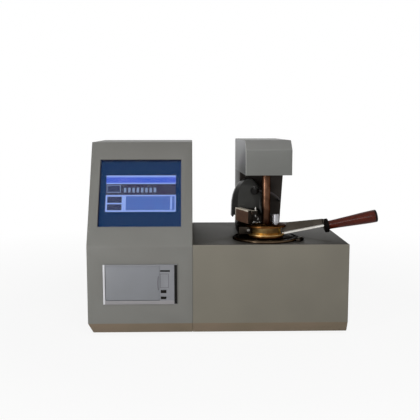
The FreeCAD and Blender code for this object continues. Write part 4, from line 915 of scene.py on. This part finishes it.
@dataclass
class Cases:
    """The folded cases of the console and the furnace cabinet, with their pans, panels, feet and screws."""

    fold: float = 1.7 * MM
    edge: float = 0.25 * MM
    foot_radius: float = 14.0 * MM
    foot_taper: float = 2.0 * MM
    foot_recess_radius: float = 5.0 * MM
    foot_recess_depth: float = 4.0 * MM
    foot_hole_radius: float = 2.1 * MM
    foot_edge: float = 0.8 * MM
    head_radius: float = 3.6 * MM
    head_height: float = 2.2 * MM
    thread_radius: float = 1.9 * MM
    thread_length: float = 7.0 * MM
    recess_half: float = 2.1 * MM
    recess_width: float = 0.8 * MM
    recess_depth: float = 1.1 * MM
    dome_shares: tuple[tuple[float, float], ...] = ((1.0, 0.45), (0.8, 0.85), (0.45, 1.0))
    foot_group: float = 30.8 * MM
    screw_group: float = 9.0 * MM

    def build(self) -> None:
        """Builds every piece of the two cases."""
        dress(eased("console_shell", self.edge, self.fold), CONSOLE_ENAMEL, Body.CABINETS)
        cabinet = dress(eased("cabinet_shell", self.edge, self.fold), ENAMEL, Body.CABINETS)
        # Painted shade: the cabinet's upward faces get the dark top enamel
        paint(cabinet, TOP_SHADE_ENAMEL, lambda c, n: n.z > FACING)
        for node in ("console_base", "cabinet_base"):
            # Painted reflection: the pans get enamel browned as bounce light from a brown table
            dress(eased(node, self.edge, self.fold), PAN_BOUNCE_ENAMEL, Body.CABINETS)
        for node in ("console_rear_panel", "cabinet_rear_panel"):
            keep_flat(dress(eased(node, self.edge), PANEL_ENAMEL, Body.CABINETS))
        self.build_feet()
        self.build_screws()

    def build_feet(self) -> None:
        """Turns the eight rubber feet where the CAD feet stand."""
        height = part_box("rubber_feet")[1].z
        hole, recess, depth = self.foot_hole_radius, self.foot_recess_radius, self.foot_recess_depth
        foot = [(hole, depth), (recess, depth), (recess, 0.0), (self.foot_radius - self.foot_taper, 0.0),
                (self.foot_radius, height), (hole, height), (hole, depth)]
        model = lathe("foot", foot, Vector(), edge=self.foot_edge, steps=SMALL_LATHE_STEPS)
        places = [Matrix.Translation((x, y, 0.0)) for x, y in self.foot_places()]
        feet = repeated("rubber_feet_turned", model, places)
        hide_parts("rubber_feet")
        dress(feet, FOOT_RUBBER, Body.CABINETS)

    def foot_places(self) -> list[tuple[float, float]]:
        """Gives the middle of each CAD foot, seen from above."""
        return clusters([v.co.xy for v in nodes["rubber_feet"].data.vertices], self.foot_group)

    def build_screws(self) -> None:
        """Models one cross-recessed screw and copies it to the feet and the rear panels."""
        thread, length, height = self.thread_radius, self.thread_length, self.head_height
        dome = [(self.head_radius * out, height * up) for out, up in self.dome_shares]
        profile = [(0.0, -length), (thread, -length), (thread, 0.0), (self.head_radius, 0.0), *dome,
                   (0.0, height)]
        model = lathe("screw", profile, Vector(), steps=SMALL_LATHE_STEPS)
        long, narrow = self.recess_half, self.recess_width / 2
        for half_x, half_y in ((long, narrow), (narrow, long)):
            low = Vector((-half_x, -half_y, height - self.recess_depth))
            cut(model, block("recess", low, Vector((half_x, half_y, height * 2))))
        ease(model, 0.0)
        rear = max(v.co.y for v in nodes["cabinet_shell"].data.vertices)
        to_back = Euler((-math.pi / 2, 0.0, 0.0)).to_matrix().to_4x4()
        places = [Matrix.Translation((x, rear, z)) @ to_back for x, z in self.panel_screws(rear)]
        downwards = Euler((math.pi, 0.0, 0.0)).to_matrix().to_4x4()
        places += [Matrix.Translation((x, y, self.foot_recess_depth)) @ downwards
                   for x, y in self.foot_places()]
        screws = repeated("case_screws_turned", model, places)
        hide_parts("case_screws")
        dress(screws, ZINC, Body.CABINETS)

    def panel_screws(self, rear: float) -> list[tuple[float, float]]:
        """Finds the screws of the rear panels.

        Args:
            rear: Where the rear panels' outer face stands.

        Returns:
            The middle of each screw, as x and z.
        """
        heads = [v.co for v in nodes["case_screws"].data.vertices if v.co.y > rear + self.head_height / 2]
        return clusters([Vector((head.x, head.z)) for head in heads], self.screw_group)


@dataclass(frozen=True)
class Field:
    """One field of the display, in shares of the opening's width and of its height from the top."""

    left: float
    top: float
    right: float
    bottom: float
    glow: Glow


@dataclass
class Screen:
    """The leaning display: its pane, its lit picture and what stands behind it."""

    setback: float = 117.0 * MM
    crease_height: float = 197.0 * MM
    opening_width: float = 178.0 * MM
    opening_height: float = 158.0 * MM
    opening_from_left: float = 20.7 * MM
    opening_from_crease: float = 44.6 * MM
    module_margin: float = 5.0 * MM
    module_front: float = 3.5 * MM
    module_depth: float = 9.0 * MM
    pane_gap: float = 0.05 * MM
    bar_count: int = 8
    bar_pitch_share: float = 0.052
    bar_width_share: float = 0.03
    bars_left: float = 0.30
    bars_top: float = 0.42
    bars_bottom: float = 0.49

    def build(self) -> None:
        """Builds the display."""
        self.build_picture()
        dress_node("screen_glass", GLASS)
        dress(eased("screen_tray", 0.2 * MM), STEEL, Body.CABINETS)
        dress_node("control_board", BOARD_LACQUER)
        dress(eased("power_supply", 0.3 * MM), ALUMINIUM, Body.CABINETS)

    def fields(self) -> list[Field]:
        """Gives the display's plain window, from the back to the front."""
        # The left and top border fields are painted shadow of the opening's edge
        fields = [Field(0.0, 0.0, 1.0, 1.0, DESKTOP), Field(0.0, 0.0, 0.02, 1.0, DISPLAY_EDGE_SHADOW),
                  Field(0.0, 0.0, 1.0, 0.03, DISPLAY_EDGE_SHADOW), Field(0.082, 0.234, 0.935, 0.262, PALE_LINE),
                  Field(0.082, 0.262, 0.935, 0.346, TITLE), Field(0.082, 0.346, 0.935, 0.364, PALE_LINE),
                  Field(0.082, 0.364, 0.935, 0.527, STRIP), Field(0.092, 0.378, 0.262, 0.492, BAR),
                  Field(0.100, 0.388, 0.254, 0.482, CELL), Field(0.082, 0.527, 0.935, 0.777, PALE_LINE),
                  Field(0.104, 0.553, 0.278, 0.644, CELL), Field(0.104, 0.665, 0.278, 0.752, CELL),
                  Field(0.330, 0.547, 0.920, 0.752, PAGE), Field(0.866, 0.553, 0.890, 0.744, PALE_LINE)]
        for i in range(self.bar_count):
            left = self.bars_left + i * self.bar_pitch_share
            fields.append(Field(left, self.bars_top, left + self.bar_width_share, self.bars_bottom, BAR))
        return fields

    def build_picture(self) -> None:
        """Models the display module and divides its lit face into fields."""
        corners = nodes["console_shell"].bound_box
        low, high = Vector(corners[0]), Vector(corners[6])
        x0, z0 = low.x + self.opening_from_left, self.opening_from_crease
        width, height = self.opening_width, self.opening_height
        margin = self.module_margin
        front, rear = self.module_front + self.pane_gap, self.module_front + self.module_depth
        module = block("display_module", Vector((x0 - margin, front, z0 - margin)),
                       Vector((x0 + width + margin, rear, z0 + height + margin)))
        fields = self.fields()
        with editing(module):
            for share in sorted({s for f in fields for s in (f.left, f.right)}):
                bpy.ops.mesh.select_all(action="SELECT")
                bpy.ops.mesh.bisect(plane_co=(x0 + share * width, 0.0, 0.0), plane_no=(1.0, 0.0, 0.0))
            for share in sorted({s for f in fields for s in (f.top, f.bottom)}):
                bpy.ops.mesh.select_all(action="SELECT")
                level = z0 + (1.0 - share) * height
                bpy.ops.mesh.bisect(plane_co=(0.0, 0.0, level), plane_no=(0.0, 0.0, 1.0))
        dress(module, BLACK_PLASTIC, Body.CABINETS)
        for f in fields:
            left, right = x0 + f.left * width, x0 + f.right * width
            top, bottom = z0 + (1.0 - f.top) * height, z0 + (1.0 - f.bottom) * height
            paint(module, f.glow, lambda c, n: n.y < -FACING and left < c.x < right and bottom < c.z < top)
        lean = math.atan2(self.setback, high.z - self.crease_height)
        module.rotation_euler = (-lean, 0.0, 0.0)
        module.location = (0.0, low.y, self.crease_height)
        settle(module)
        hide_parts("screen_module")


@dataclass
class Printer:
    """The panel printer: face, paper door, buttons, slot, plain label field, and a black end strip that
    stands for the shade at its right end.
    """

    edge: float = 0.7 * MM
    face_reach: float = 1.4 * MM
    strip_from_right: float = 5.6 * MM
    strip_margin: float = 0.8 * MM
    strip_proud: float = 0.25 * MM
    strip_depth: float = 1.75 * MM
    inlay_gap: float = 0.05 * MM
    slot_from_left: float = 120.5 * MM
    slot_from_top: float = 12.0 * MM
    slot_width: float = 20.7 * MM
    slot_height: float = 3.5 * MM
    slot_depth: float = 1.2 * MM
    label_from_left: float = 121.1 * MM
    label_from_top: float = 20.3 * MM
    label_width: float = 16.6 * MM
    label_height: float = 28.7 * MM
    line_width: float = 0.7 * MM
    line_proud: float = 0.08 * MM
    rib_from_right: float = 3.4 * MM
    rib_height: float = 30.0 * MM
    rib_width: float = 1.3 * MM
    rib_proud: float = 0.44 * MM
    rib_root: float = 0.4 * MM
    rib_cuts: int = 10

    def build(self) -> None:
        """Builds the printer's pieces."""
        low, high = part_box("printer_housing")
        self.build_face(low)
        dress(eased("printer_door", 0.3 * MM), DOOR_PLASTIC, Body.PRINTER_DOOR)
        dress(eased("feed_button", 0.5 * MM, segments=3), BLACK_GLOSS, Body.FEED_BUTTON)
        dress(eased("select_button", 0.5 * MM, segments=3), BLACK_GLOSS, Body.SELECT_BUTTON)
        proud, margin = self.strip_proud, self.strip_margin
        # Painted shade: a black strip stands for the shaded side of the housing at its right end
        strip = block("printer_end_shade_strip",
                      Vector((high.x - self.strip_from_right, low.y - proud, low.z + margin)),
                      Vector((high.x + proud, low.y + self.strip_depth, high.z - margin)), 0.2 * MM)
        dress(strip, BLACK_PLASTIC, Body.CABINETS)
        self.build_slot(low, high)
        self.build_label(low, high)
        self.build_rib()
        dress_node("roll_spindle", STEEL)
        dress_node("paper_roll", PAPER)
        dress_node("platen_roller", PLATEN_RUBBER)

    def build_face(self, low: Vector) -> None:
        """Dresses the housing: a painted highlight left of the door and painted light on its lip below it."""
        door_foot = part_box("printer_door")[0]
        face = eased("printer_housing", self.edge)
        with editing(face):
            bpy.ops.mesh.bisect(plane_co=(door_foot.x, 0.0, 0.0), plane_no=(1.0, 0.0, 0.0))
            bpy.ops.mesh.select_all(action="SELECT")
            bpy.ops.mesh.bisect(plane_co=(0.0, 0.0, door_foot.z), plane_no=(0.0, 0.0, 1.0))
        dress(face, HOUSING_PLASTIC, Body.CABINETS)
        front = low.y + self.face_reach
        # Painted light on the lip below the door, and a painted highlight on the face left of it
        paint(face, LIP_LIGHT_PLASTIC, lambda c, n: c.z < door_foot.z and c.y < front)
        paint(face, RIM_HIGHLIGHT_PLASTIC, lambda c, n: c.x < door_foot.x and c.y < front)

    def build_slot(self, low: Vector, high: Vector) -> None:
        """Fills the status window's recess with its dark lens."""
        x, top = low.x + self.slot_from_left, high.z - self.slot_from_top
        gap = self.inlay_gap
        foot = top - self.slot_height
        lens = block("printer_status_lens", Vector((x + gap, low.y + self.line_proud, foot + gap)),
                     Vector((x + self.slot_width - gap, low.y + self.slot_depth - gap, top - gap)), 0.15 * MM)
        dress(lens, BLACK_GLOSS, Body.CABINETS)

    def build_label(self, low: Vector, high: Vector) -> None:
        """Frames the bare label field with a thin line."""
        x0, z1 = low.x + self.label_from_left, high.z - self.label_from_top
        x1, z0 = x0 + self.label_width, z1 - self.label_height
        y0, y1 = low.y - self.line_proud, low.y + self.line_width
        line = self.line_width
        sides = [(x0 - line, z0 - line, x1 + line, z0), (x0 - line, z1, x1 + line, z1 + line),
                 (x0 - line, z0, x0, z1), (x1, z0, x1 + line, z1)]
        bars = [block("label_line", Vector((a, y0, b)), Vector((c, y1, d))) for a, b, c, d in sides]
        dress(joined("printer_label_frame", bars), LINE_PLASTIC, Body.CABINETS)

    def build_rib(self) -> None:
        """Models the bowed thumb rib near the door's right edge."""
        low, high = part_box("printer_door")
        middle = (low.z + high.z) / 2
        x = high.x - self.rib_from_right - self.rib_width
        reach = self.rib_height / 2
        rib = block("door_thumb_rib", Vector((x, low.y - self.rib_proud, middle - reach)),
                    Vector((x + self.rib_width, low.y + self.rib_root, middle + reach)))
        with editing(rib):
            bpy.ops.mesh.subdivide(number_cuts=self.rib_cuts)
            shape = bmesh.from_edit_mesh(rib.data)
            for vertex in shape.verts:
                along = (vertex.co.z - middle) / reach
                vertex.co.x -= (1.0 - along * along) * self.rib_width
            bmesh.update_edit_mesh(rib.data)
        ease(rib, 0.2 * MM)
        dress(rib, LINE_PLASTIC, Body.PRINTER_DOOR)


@dataclass
class RearFittings:
    """The mains inlet with its rocker switch, and the cooling fan."""

    blade_width: float = 2.1 * MM
    blade_height: float = 5.1 * MM
    blade_pitch: float = 7.0 * MM
    blade_length: float = 12.1 * MM
    socket_from_side: float = 4.0 * MM
    socket_width: float = 25.0 * MM
    socket_depth: float = 16.0 * MM
    mark_size: float = 3.0 * MM
    mark_line: float = 0.6 * MM
    mark_depth: float = 0.12 * MM
    mark_from_middle: float = 4.9 * MM
    mark_sink: float = 1.05 * MM
    rocker_tilt: float = 8.0

    def build(self) -> None:
        """Builds the rear fittings."""
        dress(eased("mains_inlet", 0.4 * MM), BLACK_PLASTIC, Body.CABINETS)
        dress(eased("power_rocker", 0.4 * MM), BLACK_GLOSS, Body.POWER_ROCKER)
        self.build_blades()
        self.build_rocker_marks()
        dress(eased("fan_frame", 0.5 * MM), BLACK_PLASTIC, Body.CABINETS)
        dress(eased("fan_rotor", 0.3 * MM), BLACK_PLASTIC, Body.FAN_ROTOR)

    def build_blades(self) -> None:
        """Sheathes the inlet's three contacts in bright metal."""
        low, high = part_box("mains_inlet")
        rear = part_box("cabinet_shell")[1].y
        x = high.x - self.socket_from_side - self.socket_width / 2
        z = (low.z + high.z) / 2
        y = rear - self.socket_depth + self.blade_length / 2
        blades = []
        for step in (-1, 0, 1):
            middle = Vector((x + step * self.blade_pitch, y, z))
            half = Vector((self.blade_width, self.blade_length, self.blade_height)) / 2
            blades.append(block("blade", middle - half, middle + half, 0.2 * MM))
        dress(joined("inlet_contacts", blades), STEEL, Body.CABINETS)

    def build_rocker_marks(self) -> None:
        """Lays the plain on bar and off ring on the rocker's face."""
        low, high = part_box("power_rocker")
        middle = (low + high) / 2
        tilt = math.radians(self.rocker_tilt)
        half, depth, reach = self.mark_size / 2, self.mark_depth, self.mark_from_middle
        corner = Vector((self.mark_line / 2, depth, half))
        bar = block("on_bar", -corner, corner)
        ring = lathe("off_ring", sleeve(half, half - self.mark_line, -depth, depth), Vector(),
                     (math.pi / 2, 0.0, 0.0), steps=SMALL_LATHE_STEPS)
        for mark, height in ((bar, reach), (ring, -reach)):
            drop = (height + reach) * math.sin(tilt)
            mark.rotation_euler = (-tilt, 0.0, 0.0)
            mark.location = (middle.x, high.y - self.mark_sink - drop, middle.z + height)
            settle(mark)
        dress(joined("rocker_marks", [bar, ring]), MARK_WHITE, Body.POWER_ROCKER)


@dataclass
class Furnace:
    """The furnace's polished flange, seat and catch, and what hangs below them."""

    flange_bore: float = 29.0 * MM
    flange_chamfer: float = 1.5 * MM
    edge: float = 0.35 * MM
    groove_radius: float = 62.0 * MM
    groove_width: float = 1.2 * MM
    groove_depth: float = 0.5 * MM
    catch_height: float = 6.0 * MM

    def build(self) -> None:
        """Builds the furnace's pieces."""
        low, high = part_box("furnace_flange")
        radius, chamfer = (high.x - low.x) / 2, self.flange_chamfer
        outer, inner = self.groove_radius + self.groove_width, self.groove_radius
        profile = [(self.flange_bore, low.z), (radius, low.z), (radius, high.z - chamfer),
                   (radius - chamfer, high.z), (outer, high.z), (outer, high.z - self.groove_depth),
                   (inner, high.z - self.groove_depth), (inner, high.z), (self.flange_bore, high.z),
                   (self.flange_bore, low.z)]
        flange = lathe("flange_turned", profile, Vector((*FURNACE_AXIS, 0.0)), edge=self.edge / 2)
        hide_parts("furnace_flange")
        # Painted reflection: the flange is dressed dark as if mirroring dark surroundings
        dress(flange, FLANGE_DARK_REFLECTION_STEEL, Body.CABINETS)
        low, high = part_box("cup_seat_ring")
        seat = lathe("seat_ring_turned", sleeve((high.x - low.x) / 2, self.flange_bore, low.z, high.z),
                     Vector((*FURNACE_AXIS, 0.0)), edge=self.edge)
        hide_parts("cup_seat_ring")
        # Painted reflection: the seat ring is dressed in the dark lid brass
        dress(seat, LID_DARK_REFLECTION_BRASS, Body.CABINETS)
        catch = dress(eased("handle_rest", 0.4 * MM), DARK_STEEL, Body.CABINETS)
        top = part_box("handle_rest")[0].z + self.catch_height
        paint(catch, ZINC, lambda c, n: c.z > top and n.z > FACING)
        for node, finish in (("furnace_block", ALUMINIUM), ("heater_band", MICA_JACKET),
                             ("furnace_insulation", FIBRE_BOARD), ("furnace_can", STEEL)):
            dress_node(node, finish)


@dataclass
class Cup:
    """The brass cup with its shank, collar, wooden grip and end cap."""

    inner_radius: float = 25.35 * MM
    outer_radius: float = 27.0 * MM
    flange_thickness: float = 3.0 * MM
    seat_height: float = 209.0 * MM
    floor: float = 2.0 * MM
    edge: float = 0.4 * MM
    collar_length: float = 9.0 * MM
    collar_radius: float = 15.4 * MM
    collar_chamfer: float = 1.2 * MM
    bore_radius: float = 3.2 * MM
    grip_length: float = 104.3 * MM
    grip_radius: float = 14.2 * MM
    cap_length: float = 5.2 * MM
    cap_radius: float = 14.0 * MM
    cap_fillet: float = 1.6 * MM
    strip_thickness: float = 3.5 * MM
    end_plate: float = 2.0 * MM

    def build(self) -> None:
        """Builds the cup and its handle."""
        self.build_bowl()
        shank = eased("cup_shank", 0.3 * MM)
        with editing(shank):
            bpy.ops.mesh.bisect(plane_co=self.axis_start() - self.axis_way() * self.end_plate,
                                plane_no=self.axis_way())
        # Painted reflection: the shank's web is dressed dark as if mirroring dark surroundings
        dress(shank, SHANK_DARK_REFLECTION_STEEL, Body.TEST_CUP)
        # Painted highlight: the shank's lower strip gets the near-white steel
        paint(shank, STRIP_HIGHLIGHT_STEEL, self.on_strip)
        self.build_handle()

    def on_strip(self, middle: Vector, normal: Vector) -> bool:
        """Says whether a face of the shank belongs to its lower strip, which carries the painted highlight.
        """
        along = self.axis_way()
        from_start = middle - self.axis_start()
        above = from_start.z - from_start.x * along.z / along.x
        return above < self.strip_thickness and from_start.dot(along) < -self.end_plate

    def axis_start(self) -> Vector:
        """Gives the point of the handle's axis at the collar's inner face."""
        return middle_of("grip_collar") - self.axis_way() * self.collar_length / 2

    def axis_way(self) -> Vector:
        """Gives the direction of the handle's axis, away from the cup."""
        return Vector((math.cos(HANDLE_TILT), 0.0, math.sin(HANDLE_TILT)))

    def build_bowl(self) -> None:
        """Turns the cup with its flange."""
        low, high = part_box("test_cup")
        flange_radius = (high.x - low.x) / 2
        seat = self.seat_height
        flange_top = seat + self.flange_thickness
        outer, inner, floor = self.outer_radius, self.inner_radius, low.z + self.floor
        profile = [(0.0, low.z), (outer, low.z), (outer, seat), (flange_radius, seat),
                   (flange_radius, flange_top), (outer, flange_top), (outer, high.z), (inner, high.z),
                   (inner, floor), (0.0, floor)]
        bowl = lathe("cup_turned", profile, Vector((*FURNACE_AXIS, 0.0)), edge=self.edge)
        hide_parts("test_cup")
        dress(bowl, CUP_BRASS_AND_HIGHLIGHT, Body.TEST_CUP)

    def build_handle(self) -> None:
        """Turns the collar, the swelling grip and the rounded cap along the tilted axis."""
        start = self.axis_start()
        lie = (0.0, math.pi / 2 - HANDLE_TILT, 0.0)
        chamfer, radius, length = self.collar_chamfer, self.collar_radius, self.collar_length
        bore = self.bore_radius
        profile = [(bore, 0.0), (radius - chamfer, 0.0), (radius, chamfer), (radius, length - chamfer),
                   (radius - chamfer, length), (bore, length), (bore, 0.0)]
        collar = lathe("collar_turned", profile, start, lie, edge=0.3 * MM)
        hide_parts("grip_collar")
        dress(collar, COLLAR_BAKELITE, Body.TEST_CUP)

        end = length + self.grip_length
        shares = ((0.0, 0.67), (0.06, 0.675), (0.12, 0.69), (0.22, 0.725), (0.33, 0.767), (0.45, 0.81),
                  (0.57, 0.86), (0.69, 0.91), (0.80, 0.95), (0.90, 0.98), (1.0, 1.0))
        swell = [(size * self.grip_radius, length + along * self.grip_length) for along, size in shares]
        profile = [(bore, length), *swell, (bore, end), (bore, length)]
        grip = lathe("grip_turned", profile, start, lie, edge=0.4 * MM)
        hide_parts("wood_grip")
        dress(grip, WOOD, Body.TEST_CUP)

        fillet, steps = self.cap_fillet, 6
        round_end = [(self.cap_radius - fillet + fillet * math.cos(math.pi / 2 * i / steps),
                      end + self.cap_length - fillet + fillet * math.sin(math.pi / 2 * i / steps))
                     for i in range(steps + 1)]
        profile = [(0.0, end), (self.cap_radius, end), *round_end, (0.0, end + self.cap_length)]
        cap = lathe("cap_turned", profile, start, lie)
        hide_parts("grip_cap")
        dress(cap, CAP_BAKELITE, Body.TEST_CUP)


@dataclass
class Lid:
    """The lid with its shutter, crank and drive block, and the igniter over it."""

    edge: float = 0.35 * MM
    plate_thickness: float = 3.0 * MM
    bead_height: float = 4.3 * MM
    module_heading: float = 20.7
    band_width: float = 3.2 * MM
    rim_width: float = 2.8 * MM
    screw_reach: float = 0.9 * MM
    upright_share: float = 0.5
    side_share: float = 0.7

    def build(self) -> None:
        """Builds the lid and what it carries."""
        # Painted reflection: the lid is dressed in the dark lid brass
        lid = dress(eased("lid_body", self.edge), LID_DARK_REFLECTION_BRASS, Body.LIFT_ARM)
        plate_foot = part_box("lid_body")[1].z - self.plate_thickness
        # Painted highlight: the lid's upright wall below its plate gets the paler cup brass
        paint(lid, CUP_BRASS_AND_HIGHLIGHT, lambda c, n: c.z < plate_foot and abs(n.z) < self.upright_share)
        # Painted reflection: the shutter is dressed in the darkened brass
        dress(eased("lid_shutter", 0.2 * MM), SHUTTER_DARK_REFLECTION_BRASS, Body.LID_SHUTTER)
        dress(eased("shutter_crank", 0.2 * MM), STEEL, Body.SHUTTER_CRANK)
        drive = dress(eased("shutter_drive", 0.5 * MM), DARK_STEEL, Body.LIFT_ARM)
        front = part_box("shutter_drive")[0].y
        paint(drive, ZINC, lambda c, n: c.y < front + self.screw_reach and n.y < -self.upright_share)
        self.build_module()
        rod = dress(eased("igniter_rod", 0.15 * MM), STEEL, Body.IGNITER_ROD)
        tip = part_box("igniter_rod")[0].z
        paint(rod, BEAD_CERAMIC, lambda c, n: c.z < tip + self.bead_height)

    def build_module(self) -> None:
        """Dresses the igniter's case: painted highlight on its top and rear edge, brown long side, dark front
        end.
        """
        module = eased("igniter_module", 0.5 * MM)
        heading = math.radians(self.module_heading)
        along = Vector((-math.sin(heading), math.cos(heading), 0.0))
        rear = min((v.co.copy() for v in module.data.vertices), key=lambda c: c.x) - along * self.band_width
        rim = max(v.co.z for v in module.data.vertices) - self.rim_width
        with editing(module):
            bpy.ops.mesh.bisect(plane_co=rear, plane_no=along)
            bpy.ops.mesh.select_all(action="SELECT")
            bpy.ops.mesh.bisect(plane_co=(0.0, 0.0, rim), plane_no=(0.0, 0.0, 1.0))
        # Painted highlight: the case's top, rear band and upper rim stay cream white
        dress(module, CASE_HIGHLIGHT_STEEL, Body.LIFT_ARM)
        side = -self.side_share
        paint(module, DARK_STEEL, lambda c, n: n.x > side and n.z < self.upright_share)
        paint(module, BROWN_LAMINATE, lambda c, n: n.x < side and c.z < rim and (c - rear).dot(along) < 0.0)


@dataclass
class Fittings:
    """The arched housing with its plug and leads, the knurled probe head and the copper tube."""

    probe_radius: float = 6.7 * MM
    collar_radius: float = 5.2 * MM
    collar_height: float = 3.0 * MM
    rod_radius: float = 2.0 * MM
    head_height: float = 22.8 * MM
    stud_rows: int = 14
    stud_columns: int = 36
    stud_inset: float = 0.12 * MM
    stud_rise: float = 0.22 * MM
    side_lean: float = 0.1
    tube_radius: float = 9.5 * MM
    tube_wall: float = 1.5 * MM

    def build(self) -> None:
        """Builds the fittings."""
        dress(eased("arch_housing", 0.7 * MM, segments=3), ARCH_ENAMEL, Body.LIFT_ARM)
        dress(eased("cable_plug", 0.4 * MM), BLACK_GLOSS, Body.LIFT_ARM)
        dress(eased("lead_glands", 0.4 * MM), BLACK_PLASTIC, Body.LIFT_ARM)
        dress_node("arm_leads", LEAD_RUBBER)
        self.build_probe()
        self.build_tube()

    def build_probe(self) -> None:
        """Turns the probe and raises the studs of its knurl."""
        low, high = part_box("temperature_probe")
        x, y = (low.x + high.x) / 2, (low.y + high.y) / 2
        top = high.z - low.z
        foot = top - self.head_height
        radius = self.probe_radius - self.stud_rise
        head_foot = foot + self.collar_height
        rise = (top - head_foot) / self.stud_rows
        side = [(radius, head_foot + i * rise) for i in range(self.stud_rows + 1)]
        profile = [(0.0, 0.0), (self.rod_radius, 0.0), (self.rod_radius, foot), (self.collar_radius, foot),
                   (self.collar_radius, head_foot)] + side + [(0.0, top)]
        probe = lathe("probe_turned", profile, Vector((x, y, low.z)), steps=self.stud_columns)
        with editing(probe):
            select_faces(probe, lambda c, n: abs(n.z) < self.side_lean and low.z + head_foot < c.z < high.z
                         and math.hypot(c.x - x, c.y - y) > self.collar_radius)
            bpy.ops.mesh.inset(thickness=self.stud_inset, depth=self.stud_rise, use_individual=True)
        ease(probe, 0.0)
        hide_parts("temperature_probe")
        dress(probe, ALUMINIUM, Body.LIFT_ARM)

    def build_tube(self) -> None:
        """Turns the copper tube as a plain sleeve."""
        low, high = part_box("drive_tube")
        tube = lathe("tube_drawn", sleeve(self.tube_radius, self.tube_radius - self.tube_wall, low.z, high.z),
                     Vector((*FURNACE_AXIS, 0.0)), edge=0.3 * MM)
        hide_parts("drive_tube")
        # Painted reflection: the tube's dark flanks come from its darkened copper and edge tint
        dress(tube, COPPER, Body.LIFT_ARM)


@dataclass
class Arm:
    """The folded shell of the head and column, and the mechanism inside the arm and the cabinet."""

    fold: float = 1.4 * MM
    edge: float = 0.25 * MM
    column_reach: float = 40.0 * MM
    fold_reach: float = 12.0 * MM
    slope_low: float = 0.15
    slope_high: float = 0.85
    slope_ahead: float = 0.4
    column_ahead: float = 0.6
    fold_share: float = 0.25

    def build(self) -> None:
        """Builds the arm and dresses its mechanism."""
        shell = eased("arm_shell", self.edge, self.fold)
        head_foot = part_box("head_floor")[0].z
        with editing(shell):
            bpy.ops.mesh.bisect(plane_co=(0.0, 0.0, head_foot), plane_no=(0.0, 0.0, 1.0))
        dress(shell, HEAD_ENAMEL, Body.LIFT_ARM)
        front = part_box("arm_shell")[0].y
        column, fold = front + self.column_reach, front + self.fold_reach
        share = -self.fold_share
        # Painted shade: the head's left side runs from dark at the foot to light at the top
        paint(shell, SIDE_SHADE_ENAMEL, lambda c, n: n.x < -FACING)
        # Painted light: the head's upward-leaning front faces get the paler enamel
        paint(shell, SLOPE_LIGHT_ENAMEL,
              lambda c, n: self.slope_low < n.z < self.slope_high and n.y < -self.slope_ahead)
        # Painted shade: everything below the head, and the column's front, gets the near-black enamel
        paint(shell, COLUMN_SHADE_ENAMEL,
              lambda c, n: c.z < head_foot or (n.y < -self.column_ahead and c.y > column))
        # Painted highlight: the front-left fold faces get the pale line
        paint(shell, FOLD_HIGHLIGHT_ENAMEL, lambda c, n: -FACING < n.x < share and n.y < share and c.y < fold)
        dress(eased("head_floor", self.edge), PANEL_ENAMEL, Body.LIFT_ARM)
        for node, finish in (("stirrer_shaft", STEEL), ("stirrer_coupling", SHUTTER_DARK_REFLECTION_BRASS),
                             ("stirrer_motor", DARK_STEEL), ("arm_beam", STEEL), ("arm_mast", STEEL),
                             ("lift_plates", STEEL), ("guide_rods", STEEL), ("lift_motor", DARK_STEEL),
                             ("lead_screw", STEEL), ("lift_carriage", ALUMINIUM)):
            dress_node(node, finish)


def main() -> None:
    """Builds the studio and every sub-assembly."""
    logging.basicConfig(level=logging.INFO, format="%(message)s")
    for part in (Studio(), Cases(), Screen(), Printer(), RearFittings(), Furnace(), Cup(), Lid(), Fittings(),
                 Arm()):
        log.info("building %s", type(part).__name__)
        part.build()


if __name__ == "__main__":
    main()
